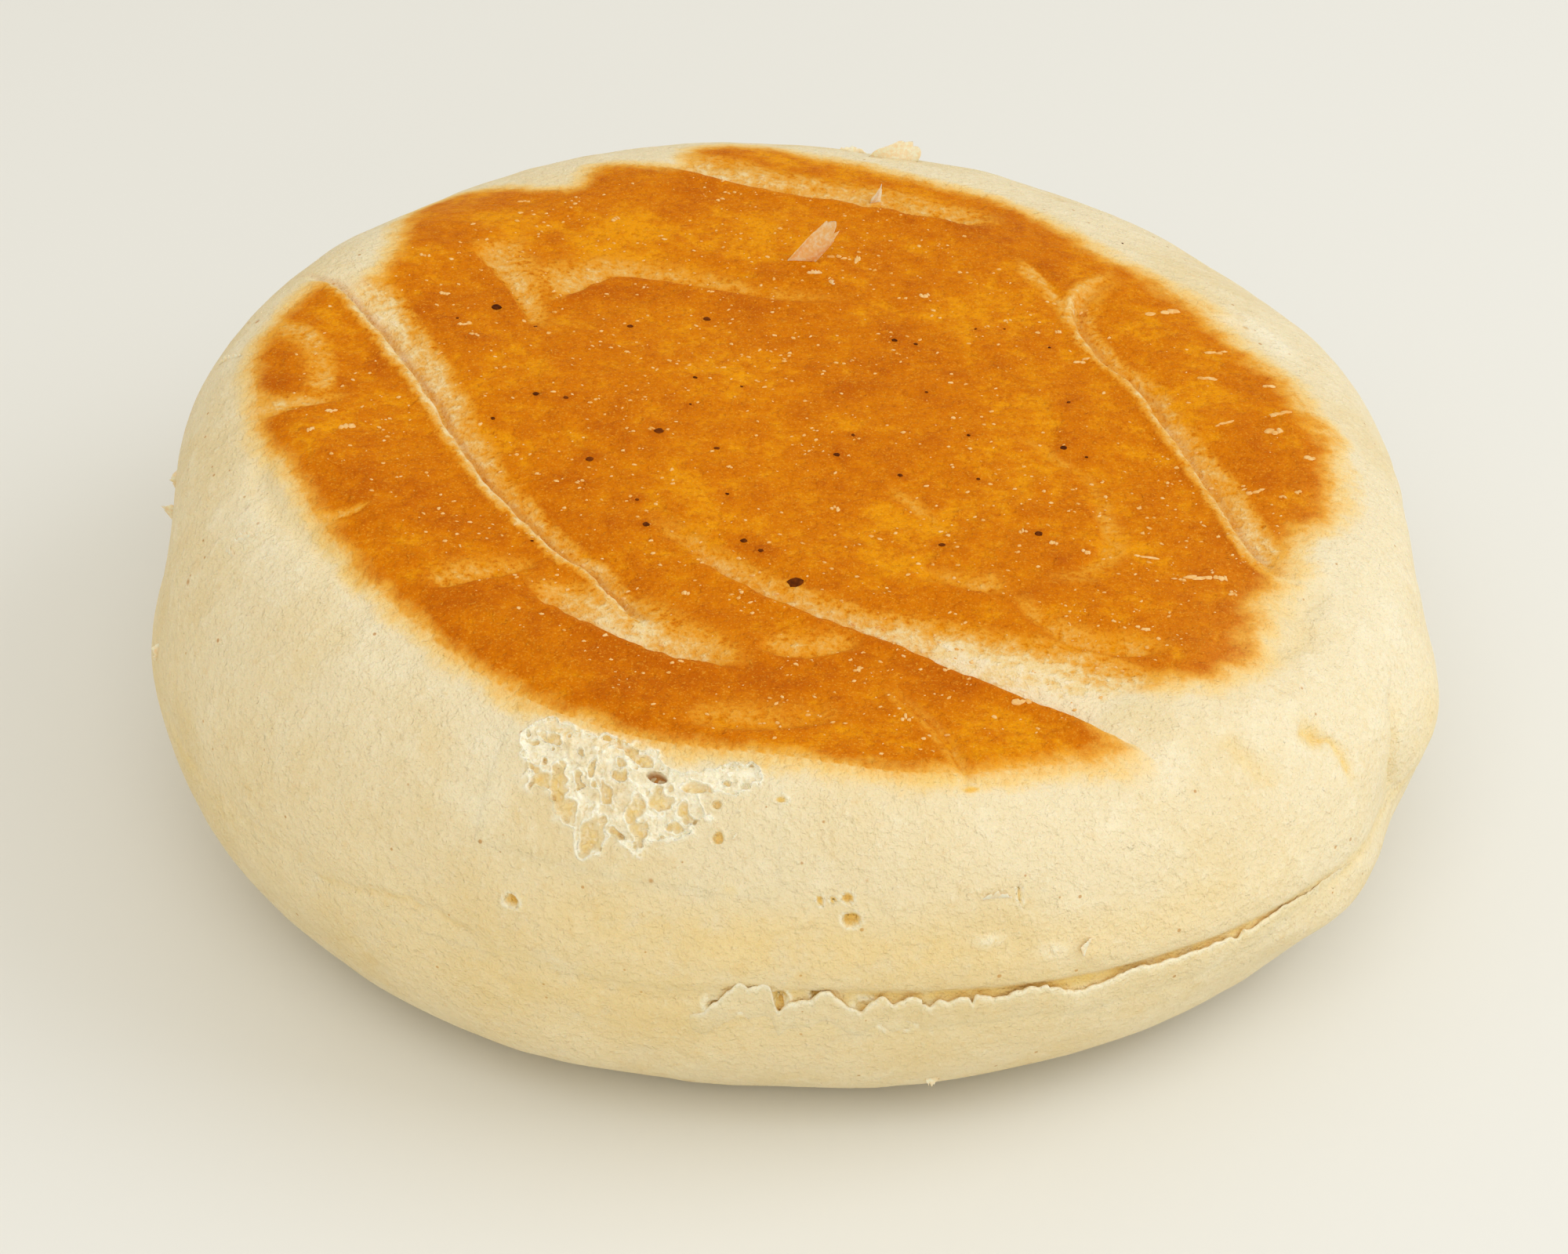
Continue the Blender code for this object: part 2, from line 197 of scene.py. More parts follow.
folds = {
    "longLeft": ((1.1, 2.2, 0.3, 1), (3.6, 1.7, 1.2), (1.5, 0.62, 0.6), (0.4, 0.15), (1, 0.3),
        ((-39, 14), (-34.8, 9.8), (-30.4, 2.8), (-27, -3.8), (-23.6, -10.9), (-20.1, -16.4),
        (-16.6, -21), (-14.6, -22.7), (-12.4, -26.2), (-10, -29))),
    "lowerPale": ((0.8, 2.4, 0.25, 0.1), (2, 4, 2.6), (0.5, 1.1, 0.5), (0.7, 0.5), (0.3, 0.3),
        ((-19, -25.2), (-16.1, -27.6), (-12.8, -29.7), (-9, -31.4), (-4.2, -32.5))),
    "front": ((1, 2.6, 0.25, 0.1), (2, 2.4, 6.2), (0.34, 0.8, 2.1), (0.55, 0.25), (0.3, 1),
        ((-11, -16.6), (-7.5, -20), (-4.5, -22.8), (-1.8, -24.6), (1.5, -26.4), (5, -28),
        (8.9, -29.8), (12.2, -31.8), (17.2, -34.3), (25.5, -39.5))),
    "right": ((0.9, 2.2, 0.26, 0.75), (1.4, 1.8, 2.6), (0.4, 0.55, 1.05), (0.35, 0.15), (0.3, 0.3),
        ((24, 19), (21.3, 15), (21.2, 11), (22.6, 7.3), (25.4, 3.2), (26.8, -1.5), (29, -7),
        (30.6, -12), (32, -16), (34.5, -18.5))),
    "far": ((0.6, 2.6, 0.15, 0.1), (4, 3.4, 3), (0.95, 0.75, 0.5), (0.4, 0.5), (0.3, 0.3),
        ((-12, 31.6), (-8.5, 30.7), (-5.2, 29.5), (-2.1, 28.6), (4.9, 27.4), (11.2, 25.9),
        (15, 25))),
    "farLeft": ((0.4, 2.2, 0.1, 0), (4.2, 2.6, 0.8), (0.6, 0.75, 0.3), (0.7, 0.7), (0.3, 0.3),
        ((-25.5, 16.5), (-24.3, 14.9), (-22.6, 11.8), (-20.9, 8.2), (-19.6, 5.5))),
    "middle": ((0.4, 2.2, 0.1, 0), (4.5, 2.6, 1.4), (0.8, 0.5, 0.2), (0.8, 0.7), (0.3, 0.3),
        ((-18.4, 10.6), (-16.9, 12.2), (-15.4, 13.7), (-13.6, 14.5), (-8.4, 13.9), (-2.6, 12.7),
        (4.7, 12.6))),
    "frontPatch": ((0.35, 1.4, 0.08, 0), (2.3, 1.9, 1), (0.45, 0.5, 0.2), (0.9, 0.8), (0.3, 0.3),
        ((-25.4, -25.9), (-23.7, -25.4), (-21.5, -24.5), (-19.3, -23.3), (-17.9, -22.4))),
    "frontBand": ((0.35, 1.4, 0.08, 0), (1.6, 2.4, 1.8), (0.35, 0.6, 0.35), (0.9, 1.1), (0.3, 0.3),
        ((-3.2, -29.6), (-2.4, -30.3), (-0.5, -30.6), (1, -30.4), (2.5, -29.8), (4, -28.9))),
    "lowerStreak": ((0.25, 1.5, 0.06, 0), (1.8, 2.8, 2.4), (0.34, 0.34, 0.16), (0.9, 1.2),
        (0.3, 0.3),
        ((-8, -38.2), (-5.7, -38.6), (-2, -38.4), (3.3, -36.8))),
    "smallCrease": ((0.35, 0.6, 0.12, 0.22), (0.5, 0.45, 0.5), (0.15, 0.3, 0.5), (0.7, 0.15),
        (0.3, 0.3),
        ((5.4, -33.2), (7.4, -35.8), (9.2, -38.6), (10, -40.8), (10.3, -43))),
    "whiteFibre": ((0.15, 0.7, 0.05, 0), (0.9, 1.1, 0.6), (0.25, 0.4, 0.3), (0.8, 0.5), (0.3, 0.3),
        ((5.5, -10.7), (7.1, -12.8), (9.8, -16.2))),
    "rightFibre": ((0.1, 0.8, 0.04, 0), (0.8, 0.9, 0.8), (0.2, 0.3, 0.25), (0.9, 0.5), (0.3, 0.3),
        ((14.6, -4), (16.8, -5.1), (18, -6.4), (20, -8.3), (20.8, -11.3))),
    "rightCrease": ((0.2, 1.2, 0.05, 0), (0.7, 1.8, 1.4), (0.3, 0.42, 0.25), (0.9, 0.8),
        (0.3, 0.3),
        ((20.7, -9.5), (20.8, -12.5), (21.2, -15), (20.4, -17.3), (18.8, -18.9), (16.2, -19.6))),
    "shelf": ((0.3, 1.2, 0.08, 0), (1.2, 1.6, 2.2), (0.2, 0.3, 0.4), (0.8, 0.6), (0.3, 0.3),
        ((7.3, -20.9), (9.2, -21.2), (11, -21.8), (13.5, -22.5))),
    "rightHook": ((0.3, 1.6, 0.08, 0), (1.6, 2.2, 2), (0.3, 0.45, 0.4), (0.8, 0.7), (0.3, 0.3),
        ((13.7, -22.7), (15.6, -25.1), (17.5, -26.9), (19.5, -27.7), (21.6, -27.8), (25, -27))),
    "rightBranch": ((0.1, 1.2, 0, 0), (0.9, 1.2, 1.4), (0.3, 0.5, 0.6), (0.6, 0.15), (0.3, 0.3),
        ((21.8, 8.5), (20.5, 12), (19.9, 14.7), (18.7, 17.4), (17.3, 19.7))),
    "leftPatch": ((0.2, 1.2, 0.06, 0), (2.6, 1.7, 0.9), (1.1, 0.9, 0.3), (0.8, 0.7), (1, 0.3),
        ((-43.5, -7.8), (-40, -7.2), (-37.2, -6.7), (-35.2, -5.9), (-32.4, -4.8))),
    "leftRing": ((0, 1, 0, 0), (1.5, 1.7, 2.2), (0.7, 0.6, 0.6), (0.9, 0.9), (0.3, 0.9),
        ((-34.4, -5.2), (-34.2, -2.4), (-34.8, 0.6), (-36, 3.2), (-38.5, 5.2))),
    "leftNick": ((0.2, 0.7, 0.05, 0), (0.8, 0.7, 0.5), (0.9, 0.8, 0.3), (0.8, 0.15), (0.3, 0.3),
        ((-34.5, -19.3), (-33.5, -19.1), (-32, -18.8), (-29.8, -17.6))),
}
foldShape = {
    "steepness": 0.30, "taper": 0.16, "samples": 160, "reach": 8.0,
    "wanderX": ((0.22, 2.2, 61), (0.15, 0.8, 62)), "wanderY": ((0.22, 2.2, 63), (0.15, 0.8, 64)),
}

toastTones = (  # place, half sizes, and tone, which is darker above zero
    (-32, -15.5, 4, 2, 0.8), (-28, -18, 4, 2.5, 0.9), (-31, -11, 3, 3.5, 0.5),
    (-24.5, -27.5, 3, 1.6, 0.9), (-20, -26, 2.5, 2, 0.6), (-16, -31.5, 6, 2.6, 0.8),
    (-8, -34, 7, 1.6, 0.7), (-2, -32.5, 3.5, 2, 0.8), (9, -32.5, 4, 1.6, 0.8),
    (-13, -36.5, 5, 2, 0.5), (-9, -24, 3, 2, 0.8), (-5, -27, 5, 1, 0.6), (9, -24, 4.5, 1.8, 0.9),
    (15.5, -19, 2.5, 2.5, 0.5), (27, -15, 2.5, 3.2, 0.8), (26, -25, 3, 2, 0.5),
    (20, -3.5, 1.5, 3.5, 0.6), (9, 4, 5, 3.2, 0.7), (4, 0, 3, 3, 0.7), (15, 5, 3, 3, 0.5),
    (8, 16.5, 2.5, 2.5, 0.8), (-2, 16, 2, 2, 0.5), (0, 10.8, 3, 1.2, 0.6),
    (-13, 12, 4.5, 1.5, 0.9), (-17, 7, 2.5, 4, 0.5), (-28, 8, 1.6, 4, 0.6),
    (-28.5, 18, 3, 1.6, 0.7), (-23.5, 24.5, 2, 2.5, 0.5), (-8, 26, 4, 3, 0.6),
    (13, 24.5, 1.6, 2.5, 0.6), (-14, -6, 1.5, 3, 0.5), (-17, -12.5, 2.5, 2.5, 0.7),
    (-31, -1, 2, 4, 0.5), (28, 12, 3, 4, 0.4), (33, -4, 3, 3, 0.5), (-4, 1.5, 4, 3, -0.7),
    (4, -3.8, 2, 1, -0.8), (8, -14, 3, 2.2, -0.8), (21, -14, 1.6, 4, -0.9),
    (23, -16.3, 2.5, 1, -0.7), (-24, 21, 2.6, 1.6, -0.8), (-13.5, 21.5, 1.6, 3, -0.7),
    (-15.5, 17, 2, 2, -0.9), (13, 12.5, 3, 2, -0.4), (-6.5, -20, 2.5, 2, -0.6),
    (5.5, -34, 1.5, 2.5, -0.6), (12.5, -37, 3, 2.5, -0.5), (31, 4, 1.5, 2, -0.4),
    (30, 9, 4, 6, -0.6), (26, 8, 1.2, 3, -0.4), (-22, 3, 3, 2, -0.3), (16, -9, 2, 2, -0.4),
    (-24.5, 5, 1.2, 1, -0.4), (12, 21, 2, 2, -0.4), (-37.8, -2.8, 1.5, 2, 0.9),
    (14, -28.3, 2.5, 1, 0.4), (22, -29.7, 3, 1, 0.4), (-33.5, -8.9, 1.4, 0.6, -0.6),
)

toastOutline = (  # edge of the toasted top face, seen from above
    (-40.3, 0), (-39.3, -5), (-38.8, -9), (-37, -12), (-35.3, -15.2), (-32.8, -20), (-29.6, -24.8),
    (-25.7, -29.6), (-21, -34.2), (-15.6, -37.8), (-10, -40), (-3, -41.2), (4.5, -41.9),
    (10, -41.4), (15, -40), (18.8, -38.6), (20.8, -37.2), (19, -35.4), (21.5, -33), (24, -31),
    (28, -29.4), (30.5, -25.5), (31.6, -21.5), (33.2, -17.8), (35.2, -13), (38, -8.8), (38.6, -2),
    (37.4, 3), (36.2, 6.7), (33.2, 10.2), (32.2, 13.4), (30.6, 16.4), (27.2, 19.4), (23.4, 22.4),
    (21, 25.6), (16, 29.9), (10.3, 32.2), (5.2, 34.5), (0, 36.4), (-4, 37.4), (-8.7, 36),
    (-10, 31.4), (-16.3, 31.6), (-17.6, 27.4), (-21, 26.9), (-25, 28.3), (-28.7, 27.2),
    (-30.8, 22), (-31, 16), (-32, 11.5), (-35, 10.6), (-37, 9.9), (-38.6, 6), (-39.8, 3),
)
skirtLevel = 35  # the toasted top and its folds end above this level
toastEdge = {
    "reach": 6.0,  # the stored distance runs this far in and out
    "streaked": (14, 30),  # from x to x, the edge grows wider and streaked
    "streaks": ((0.35, 0.9, 65), (0.65, 2.4, 66)), "stretch": (0.4, 1.0, 1.0),
    "tip": (20, -37.5, 4.5, 3),  # place and spreads of the front tip, where it fades out
    "underWider": 2.0, "underLobes": ((5, 0.5, 10), (9, 0.4, 40)),
}


def foldFields(places, level):
    # Height: steep on a path's right, sloping up over the ramp on its left. Pale: the band
    # beside the path, sharp at the path and fading on its open side. Line: the shaded bottom
    # of the fold. Tone: darker on the raised side of each path and where toastTones say so.
    x = places[..., 0] + layered(places, foldShape["wanderX"])
    y = places[..., 1] + layered(places, foldShape["wanderY"])
    height, pale, line, tone = np.zeros((4, *x.shape))
    steep = foldShape["steepness"]
    halves = (0, 0.5, 1)
    for shape, widths, pales, (soft, sharp), (start, end), path in folds.values():
        depth, ramp, lip, deepLine = shape
        path = smoothPath(path, foldShape["samples"])
        side, along, beyond = besidePath(x, y, path, foldShape["reach"])
        taper = softStep(np.minimum(along, 1 - along), 0, foldShape["taper"])
        taper = taper * bell(beyond, 0, ramp)
        drop = np.where(side > 0, np.exp(-np.abs(side) / ramp), bell(side, 0, steep))
        raised = 0.7 * lip * bell(side, -2.8 * steep, 2.2 * steep)
        height += taper * (raised - depth * drop)
        width = np.interp(along, halves, widths)
        strength = np.interp(along, halves, pales)
        fading = 1 - 0.35 * np.clip(side / width, 0, 1)
        openSide = 1 - softStep(side, width * (1 - soft), width * (1 + soft))
        band = fading * openSide * softStep(side, -sharp, sharp)
        ends = np.interp(along, (0, 0.12, 0.88, 1), (start, 1, 1, end))
        ends = ends * (1 - softStep(beyond, 0.2, 1.4))
        lit = deepLine * bell(side, -0.5, 0.6)  # the pale lip of a deep fold: its untoasted wall, with a painted highlight where light catches it
        pale = np.maximum(pale, np.maximum(strength * band, lit) * ends)
        # painted shade: the dark line along the bottom of the fold
        line = np.maximum(line, deepLine * bell(side, 0.35, 0.30) * np.sqrt(taper))
        shade = np.where(side < 0, bell(side, -1.0, 1.0), 0)
        tone = np.maximum(tone, 0.7 * shade * np.minimum(strength, 0.8) * ends)
    for centreX, centreY, halfX, halfY, amount in toastTones:
        tone += amount * np.exp(-0.9 * (((x - centreX) / halfX) ** 2
                                        + ((y - centreY) / halfY) ** 2))
    for centreX, centreY, size in charSpecks:
        tone += 1.1 * bell(np.hypot(x - centreX, y - centreY), 0, 0.3 + 0.9 * size)
    return height * np.clip((level - 45) / 25, 0, 1), pale, line, tone


def toastDistance(places, level):
    # Distance in from the edge of the toasted face. The underside has a face of its own,
    # a little outside the rim of the base.
    edge = toastEdge
    x, y = places[..., 0], places[..., 1]
    top = level > skirtLevel
    side = np.full(x.shape, -edge["reach"])
    if top.any():
        path = smoothPath(toastOutline, 420, closed=True)
        inside = besidePath(x[top], y[top], path, closed=True)[0]
        wide = softStep(x[top], *edge["streaked"])
        streaks = layered(places[top] * edge["stretch"], edge["streaks"])
        tipX, tipY, spreadX, spreadY = edge["tip"]
        tip = bell(x[top], tipX, spreadX) * bell(y[top], tipY, spreadY)
        gentle = 1 - 0.35 * wide - 0.3 * tip
        side[top] = inside * gentle + 0.8 * wide * streaks * bell(inside, 0, 4)
    under = lobed(np.degrees(np.arctan2(y, x)), muffinForm["baseRadius"] + edge["underWider"],
                  muffinForm["baseLobes"] + edge["underLobes"]) - np.hypot(x, y)
    return np.clip(np.where(level < -skirtLevel, under, side), -edge["reach"], edge["reach"])


# Seam round the side, where the upper dough overhangs the lower

seam = {
    "path": ((-180, 5), (-150, 3), (-125, 4), (-112, 1), (-102, -2.5), (-97, 0.4), (-90, 0.8),
        (-80, 0.8), (-70, 0.6), (-60, 1.4), (-50, 0.8), (-40, 0), (-25, -2), (0, 1), (60, 3),
        (120, 4), (180, 5)),
    "depth": 0.44, "halfWidth": 1.7, "overhang": 0.22, "overhangLevel": 7.5,
    "overhangSpread": 6.0, "front": -70, "frontSpread": 27, "elsewhere": 0.22,
    # the width of the golden painted shade and glow along the seam
    "seamShadeWidth": 1.7,
}


def seamLevel(direction):  # the level of the seam, straight between the places of its path
    return np.interp(turnBetween(direction, 0), *np.array(seam["path"]).T)


def seamStrength(direction):  # 1 in front, falling to a fixed share elsewhere
    front = bell(turnBetween(direction, seam["front"]), 0, seam["frontSpread"])
    return seam["elsewhere"] + (1 - seam["elsewhere"]) * front


def seamRelief(direction, level):  # a groove along the seam and a swelling over it
    above = level - seamLevel(direction)
    groove = seam["depth"] * bell(above, 0, seam["halfWidth"])
    over = seam["overhang"] * bell(above, seam["overhangLevel"], seam["overhangSpread"])
    return seamStrength(direction) * (over - groove)


# Torn patch of open crumb under the front rim, as (direction, level) places

tornPatch = {
    "outline": ((-113.5, 67), (-115.4, 60), (-115.1, 56), (-113.9, 51), (-113.6, 47), (-112, 46),
        (-110.8, 41.5), (-109.3, 39), (-108.2, 33.5), (-107, 33.2), (-106.3, 39), (-105, 37),
        (-103.8, 36), (-102.6, 40), (-100.6, 42.5), (-99.4, 48), (-98.2, 52), (-98.6, 57),
        (-97.4, 61), (-95.4, 62), (-94.4, 68), (-94.9, 74), (-97.8, 70.5), (-99.5, 67),
        (-102.4, 65.5), (-103.3, 68.5), (-105.2, 69), (-107.4, 67.5), (-109.2, 67), (-111.4, 67)),
    "floors": ((-113, 61.8, 0.8, 1.6), (-112.8, 48.5, 0.9, 3.5), (-111.3, 50, 0.8, 7),
        (-110.2, 44, 1.2, 3.5), (-108.6, 57.5, 0.45, 3.5), (-107.5, 38.8, 0.75, 5.5),
        (-105.9, 40, 0.5, 2), (-105, 66.6, 1.3, 1.6), (-104, 65, 1, 2.2), (-104.2, 48.5, 1.2, 4.5),
        (-103.7, 41, 0.9, 4), (-102.2, 54.5, 0.7, 4), (-100.3, 51, 0.6, 4), (-99, 60, 1.4, 3),
        (-109.6, 52, 0.35, 3), (-106.8, 50, 0.5, 4), (-101, 45.5, 0.5, 2),
        (-110.4, 61.5, 0.5, 1.4), (-106.2, 59, 0.4, 2), (-96.4, 65, 0.4, 1.2)),
    "middle": -105, "depth": 0.95,
}
tornHole = {"place": (-102.9, 61), "half": (0.95, 2.1), "depth": 0.9}


def flatSkin(direction, level, centre):  # a place on the flattened skin, in millimetres
    return np.stack((turnBetween(direction, centre), level), -1) * (0.79, 0.27)


def patchDistance(direction, level):  # distance in from the torn patch's edge on the flat skin
    middle = tornPatch["middle"]
    path = smoothPath(flatSkin(*np.array(tornPatch["outline"]).T, middle), 300, closed=True)
    flat = flatSkin(direction, level, middle)
    inside = np.full(level.shape, -9.0)
    near = (np.abs(flat[..., 0]) < 13) & (level > 15) & (level < 90)
    if near.any():
        inside[near] = besidePath(*flat[near].T, path, closed=True)[0]
    return inside


# Pits and creases of the skin

pits = (  # direction, level, half width and half height in millimetres, depth
    (-113.5, 15.5, 0.45, 0.45, 0.6), (-86.5, 23.5, 0.55, 0.5, 0.6), (-86.8, 30, 0.35, 0.35, 0.4),
    (-89, 29, 0.2, 0.35, 0.25), (-96.6, -3.2, 1, 0.55, 0.45), (-97.6, -6.5, 0.35, 0.6, 0.25),
    (-92.2, -0.5, 0.5, 0.5, 0.5), (-92.1, -3, 0.3, 0.6, 0.4), (-85.5, -1.6, 0.6, 0.5, 0.35),
    (-83, -8, 0.8, 0.4, 0.35), (-89.2, 0.5, 0.4, 0.3, 0.4), (-97.2, 45.5, 0.35, 0.4, 0.4),
    (-97.5, 56, 0.3, 0.3, 0.3), (-95.2, 65, 0.3, 0.3, 0.3), (-92.2, 61.5, 0.4, 0.25, 0.2),
    (-73.4, 29.5, 0.15, 0.6, 0.2), (-88, 29.5, 0.2, 0.2, 0.2),
)
pitEdge = ((0.32, 0.8, 41), (0.2, 0.35, 42))


def pitFields(places, direction, level):
    # Steep-sided ragged holes with a floor of golden painted shade and a thin pale rim
    height, goldAndShade, white = np.zeros((3, *level.shape))
    ragged = layered(places, pitEdge)
    for turn, up, wide, tall, depth in pits:
        middle = smoothForm(np.array([float(turn)]), np.array([float(up)]))[0][0]
        offset = places - middle
        turn = np.radians(turn)
        across = offset[..., 1] * np.cos(turn) - offset[..., 0] * np.sin(turn)
        along = np.sqrt(np.maximum((offset ** 2).sum(-1) - across ** 2, 0))
        gap = np.hypot(across / wide, along / tall) + ragged
        height += 0.07 * bell(gap, 1.45, 0.3) - depth * (1 - softStep(gap, 0.55, 1.1))
        goldAndShade = np.maximum(goldAndShade, 1 - softStep(gap, 0.75, 1.1))
        white = np.maximum(white, 0.6 * bell(gap, 1.35, 0.2))
    return height, goldAndShade, white


sideCreases = {  # path, depth, half width, share of golden painted shade
    "valley": (((-51.5, 60), (-50, 47.5), (-48.3, 35)), 0.4, 0.9, 0.3),
    "tear": (((-43, 47), (-41.6, 42), (-40.6, 38), (-40, 34), (-39.9, 29),
        (-40.4, 21)), 0.35, 0.42, 1),
    "tearTop": (((-43.4, 48), (-42.6, 45), (-41.6, 41), (-41, 38)), 0.3, 0.85, 0.8),
    "underRim": (((-22, 67), (-32, 70), (-34, 65.5), (-38, 66), (-42, 69.5)), 0.45, 1.1, 0.2),
    "rightFold": (((-29.5, 36), (-31, 24), (-32, 12), (-31, -4)), 0.6, 0.8, 0.25),
    "leftRim": (((-164, 75), (-161, 70), (-156, 68), (-148.5, 70), (-142, 69.5),
        (-138, 69)), 0.4, 0.9, 0.2),
    "leftFold": (((-134, 0.5), (-129, 2), (-122.5, 6.5), (-118.5, 4), (-116, 4)), 0.25, 0.3, 0.45),
}


def creaseFields(direction, level):
    # Each crease is a valley across its path on the flattened skin, fading at both ends
    depth, goldAndShade = np.zeros((2, *level.shape))
    for path, deep, wide, share in sideCreases.values():
        turn, up = np.array(path).T
        line = smoothPath(flatSkin(turn, up, turn.mean()), 80)
        flat = flatSkin(direction, level, turn.mean())
        wander = 0.25 * doughNoise(np.append(flat, 0 * flat[..., :1], axis=-1), 1.1, 44)
        side, along, beyond = besidePath(flat[..., 0] + wander, flat[..., 1] + wander, line, 6.0)
        fade = softStep(np.minimum(along, 1 - along), -0.01, 0.2) * bell(beyond, 0, wide)
        depth += deep * fade * bell(side, 0, wide)
        # painted shade: golden along each crease
        goldAndShade = np.maximum(goldAndShade, share * fade * bell(side, 0, 0.9 * wide))
    return depth, goldAndShade


# Soft marks of the skin: direction, level, spread along each, and strength

swells = (  # broad bulges, and dents below zero
    (-33, 3, 5, 16, -1.2), (-23, 10, 6, 14, 0.7), (-28, -13, 4, 9, -0.8), (-43, -12, 7, 10, 0.9),
    (-42, 36, 3, 9, -0.35), (-50.5, 52, 2.5, 10, -0.25), (-173, 20, 9, 18, -1.2),
    (-165, 2, 6, 12, 0.4), (163, 38, 9, 16, -0.5), (150, 48, 12, 20, -0.3), (40, 42, 10, 20, -0.5),
    (20, 28, 7, 16, 0.3), (-4, 18, 9, 14, -2), (-50, -25, 10, 18, -0.8), (-68, 9, 1.3, 3.5, 0.3),
    (-76, 16.5, 1.2, 2, 0.15), (-82, -42, 9, 16, 0.35), (-112, -36, 10, 16, 0.6),
    (-135, -25, 9, 16, -0.4),
)

goldenAndShadedMarks = (  # golden tears and thin places, and golden painted shade in folds, hollows and on the shaded lower front side
    (-42, 43, 1.1, 3, 0.95), (-33, 12, 1.6, 14, 0.25), (-93, 14, 24, 12, 0.5),
    (-25, 10, 4, 14, 0.3), (-96, 29.5, 0.7, 2.5, 0.35), (-123, 6.5, 5.5, 0.8, 0.4),
    (-106, 3.4, 1.4, 0.8, 0.4), (-112, 4, 3, 1, 0.25), (-118, -2, 12, 4, 0.2),
    (-161, 0, 4, 7, 0.35), (-152, 1, 8, 3, 0.35), (-144, 0, 5, 4, 0.25),
    (-93.2, 3.2, 1.6, 1.2, 0.3), (-83.2, -8, 1.8, 2, 0.3), (-80.8, -9, 1.5, 2, 0.25),
    (-99, 8, 2.2, 2.5, 0.2), (-76, 67.5, 0.55, 0.9, 1), (-76.2, 73, 0.2, 5, 0.6),
    (-79, 73, 2, 4, 0.35), (-74, 4, 12, 4, 0.25), (-88.5, 77, 0.3, 3, 0.4),
    (-105, -4, 38, 26, 0.34), (-70, 14, 22, 10, 0.25), (-165, 5, 30, 25, 0.2),
)

lightMarks = (  # lighter places
    (-76, 16.5, 1.1, 1.9, 0.5), (21, 60, 5, 4, 0.35), (25, 66, 1.5, 3, 0.4), (175, 62, 4, 4, 0.3),
    (-71, 11.5, 1.2, 2.5, 0.4), (-58, 58, 3, 8, 0.25), (-46, 56, 3, 9, 0.25),
    (-30, 30, 20, 30, 0.25), (-118, 52, 3, 6, 0.2), (-153, 60, 6, 6, 0.25),
)
orangeMarks = (  # small toasted places
    (-76, 67.3, 0.9, 1.4, 1.25), (-76.4, 72, 0.25, 5, 0.8), (-57, 78, 5, 6, 0.35),
)


def softMarks(marks, direction, level):  # one smooth bump of its own strength for each mark
    return [amount * bell(turnBetween(direction, centre), 0, wide) * bell(level, height, tall)
            for centre, height, wide, tall, amount in marks]


def skinFields(direction, level, covered=True):
    # Everything a piece of skin needs at (direction, level): its place, the outward direction
    # and the shares that the skin's colours read. Height is the sum of folds, seam, swells,
    # pits, creases and lumps, and fades out towards the base.
    places, outward = smoothForm(direction, level)
    relief, pale, line, tone = np.zeros((4, *level.shape))
    upper = level > skirtLevel
    if upper.any():
        for total, part in zip((relief, pale, line, tone),
                               foldFields(places[upper], level[upper])):
            total[upper] = part
    pitHeight, goldAndShade, white = pitFields(places, direction, level)
    creased, creaseShade = creaseFields(direction, level)
    relief += seamRelief(direction, level) + sum(softMarks(swells, direction, level))
    relief += pitHeight - creased + layered(places, muffinForm["lumps"])
    if covered:
        relief -= tornPatch["depth"] * softStep(patchDistance(direction, level), -0.5, 0.6)
    relief *= np.clip((level + 85) / 30, 0, 1)
    # painted shade and glow: a golden line along the seam groove under the overhang
    seamGap = level - seamLevel(direction)
    seamShadeGlow = 0.9 * seamStrength(direction) * bell(seamGap, -0.3, seam["seamShadeWidth"])
    # golden tears and thin places, and golden painted shade in hollows and on the shaded lower
    # side
    goldenShade = softMarks(goldenAndShadedMarks, direction, level)
    orange = np.max(softMarks(orangeMarks, direction, level), axis=0)
    toasted = np.maximum(toastDistance(places, level), 2.6 * orange - 2.4)
    fields = {
        "toast": toasted / (2 * toastEdge["reach"]) + 0.5,
        "pale": np.clip(pale, 0, 2), "foldShade": line, "tone": tone,
        "goldAndShade": np.max([goldAndShade, creaseShade, seamShadeGlow, *goldenShade], axis=0),
        "white": np.max([white, *softMarks(lightMarks, direction, level)], axis=0),
    }
    return places + outward * relief[..., None], outward, fields


# Putting meshes into the scene

def addObject(name, data):  # a new object in the scene
    thing = bpy.data.objects.new(name, data)
    bpy.context.scene.collection.objects.link(thing)
    return thing


def placeMesh(name, points, faces, fields, material, normals=None):
    # Points in millimetres become a smooth mesh at the muffin's place, with one value a point
    # for each field, riding on the muffin and standing for its solid.
    mesh = bpy.data.meshes.new(name)
    places = (points.reshape(-1, 3) + muffinForm["middleShift"]) * millimetre
    mesh.from_pydata(places.tolist(), [], faces)
    for field, values in fields.items():
        layer = mesh.attributes.new(field, "FLOAT", "POINT")
        layer.data.foreach_set("value", np.ascontiguousarray(values, np.float32).ravel())
    mesh.update()
    mesh.shade_smooth()
    if normals is not None:
        mesh.normals_split_custom_set_from_vertices(normals.reshape(-1, 3).tolist())
    piece = addObject(name, mesh)
    mesh.materials.append(material)
    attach(piece, "root")
    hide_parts("muffin")
    print(name, len(mesh.polygons), "faces")


def gridNormals(points, wrap):  # outward normals of a grid whose rows run down and round
    if wrap:
        around = np.roll(points, -1, axis=1) - np.roll(points, 1, axis=1)
    else:
        around = np.gradient(points, axis=1)
    normal = np.cross(np.gradient(points, axis=0), around)
    return normal / np.maximum(np.linalg.norm(normal, axis=-1, keepdims=True), 1e-12)


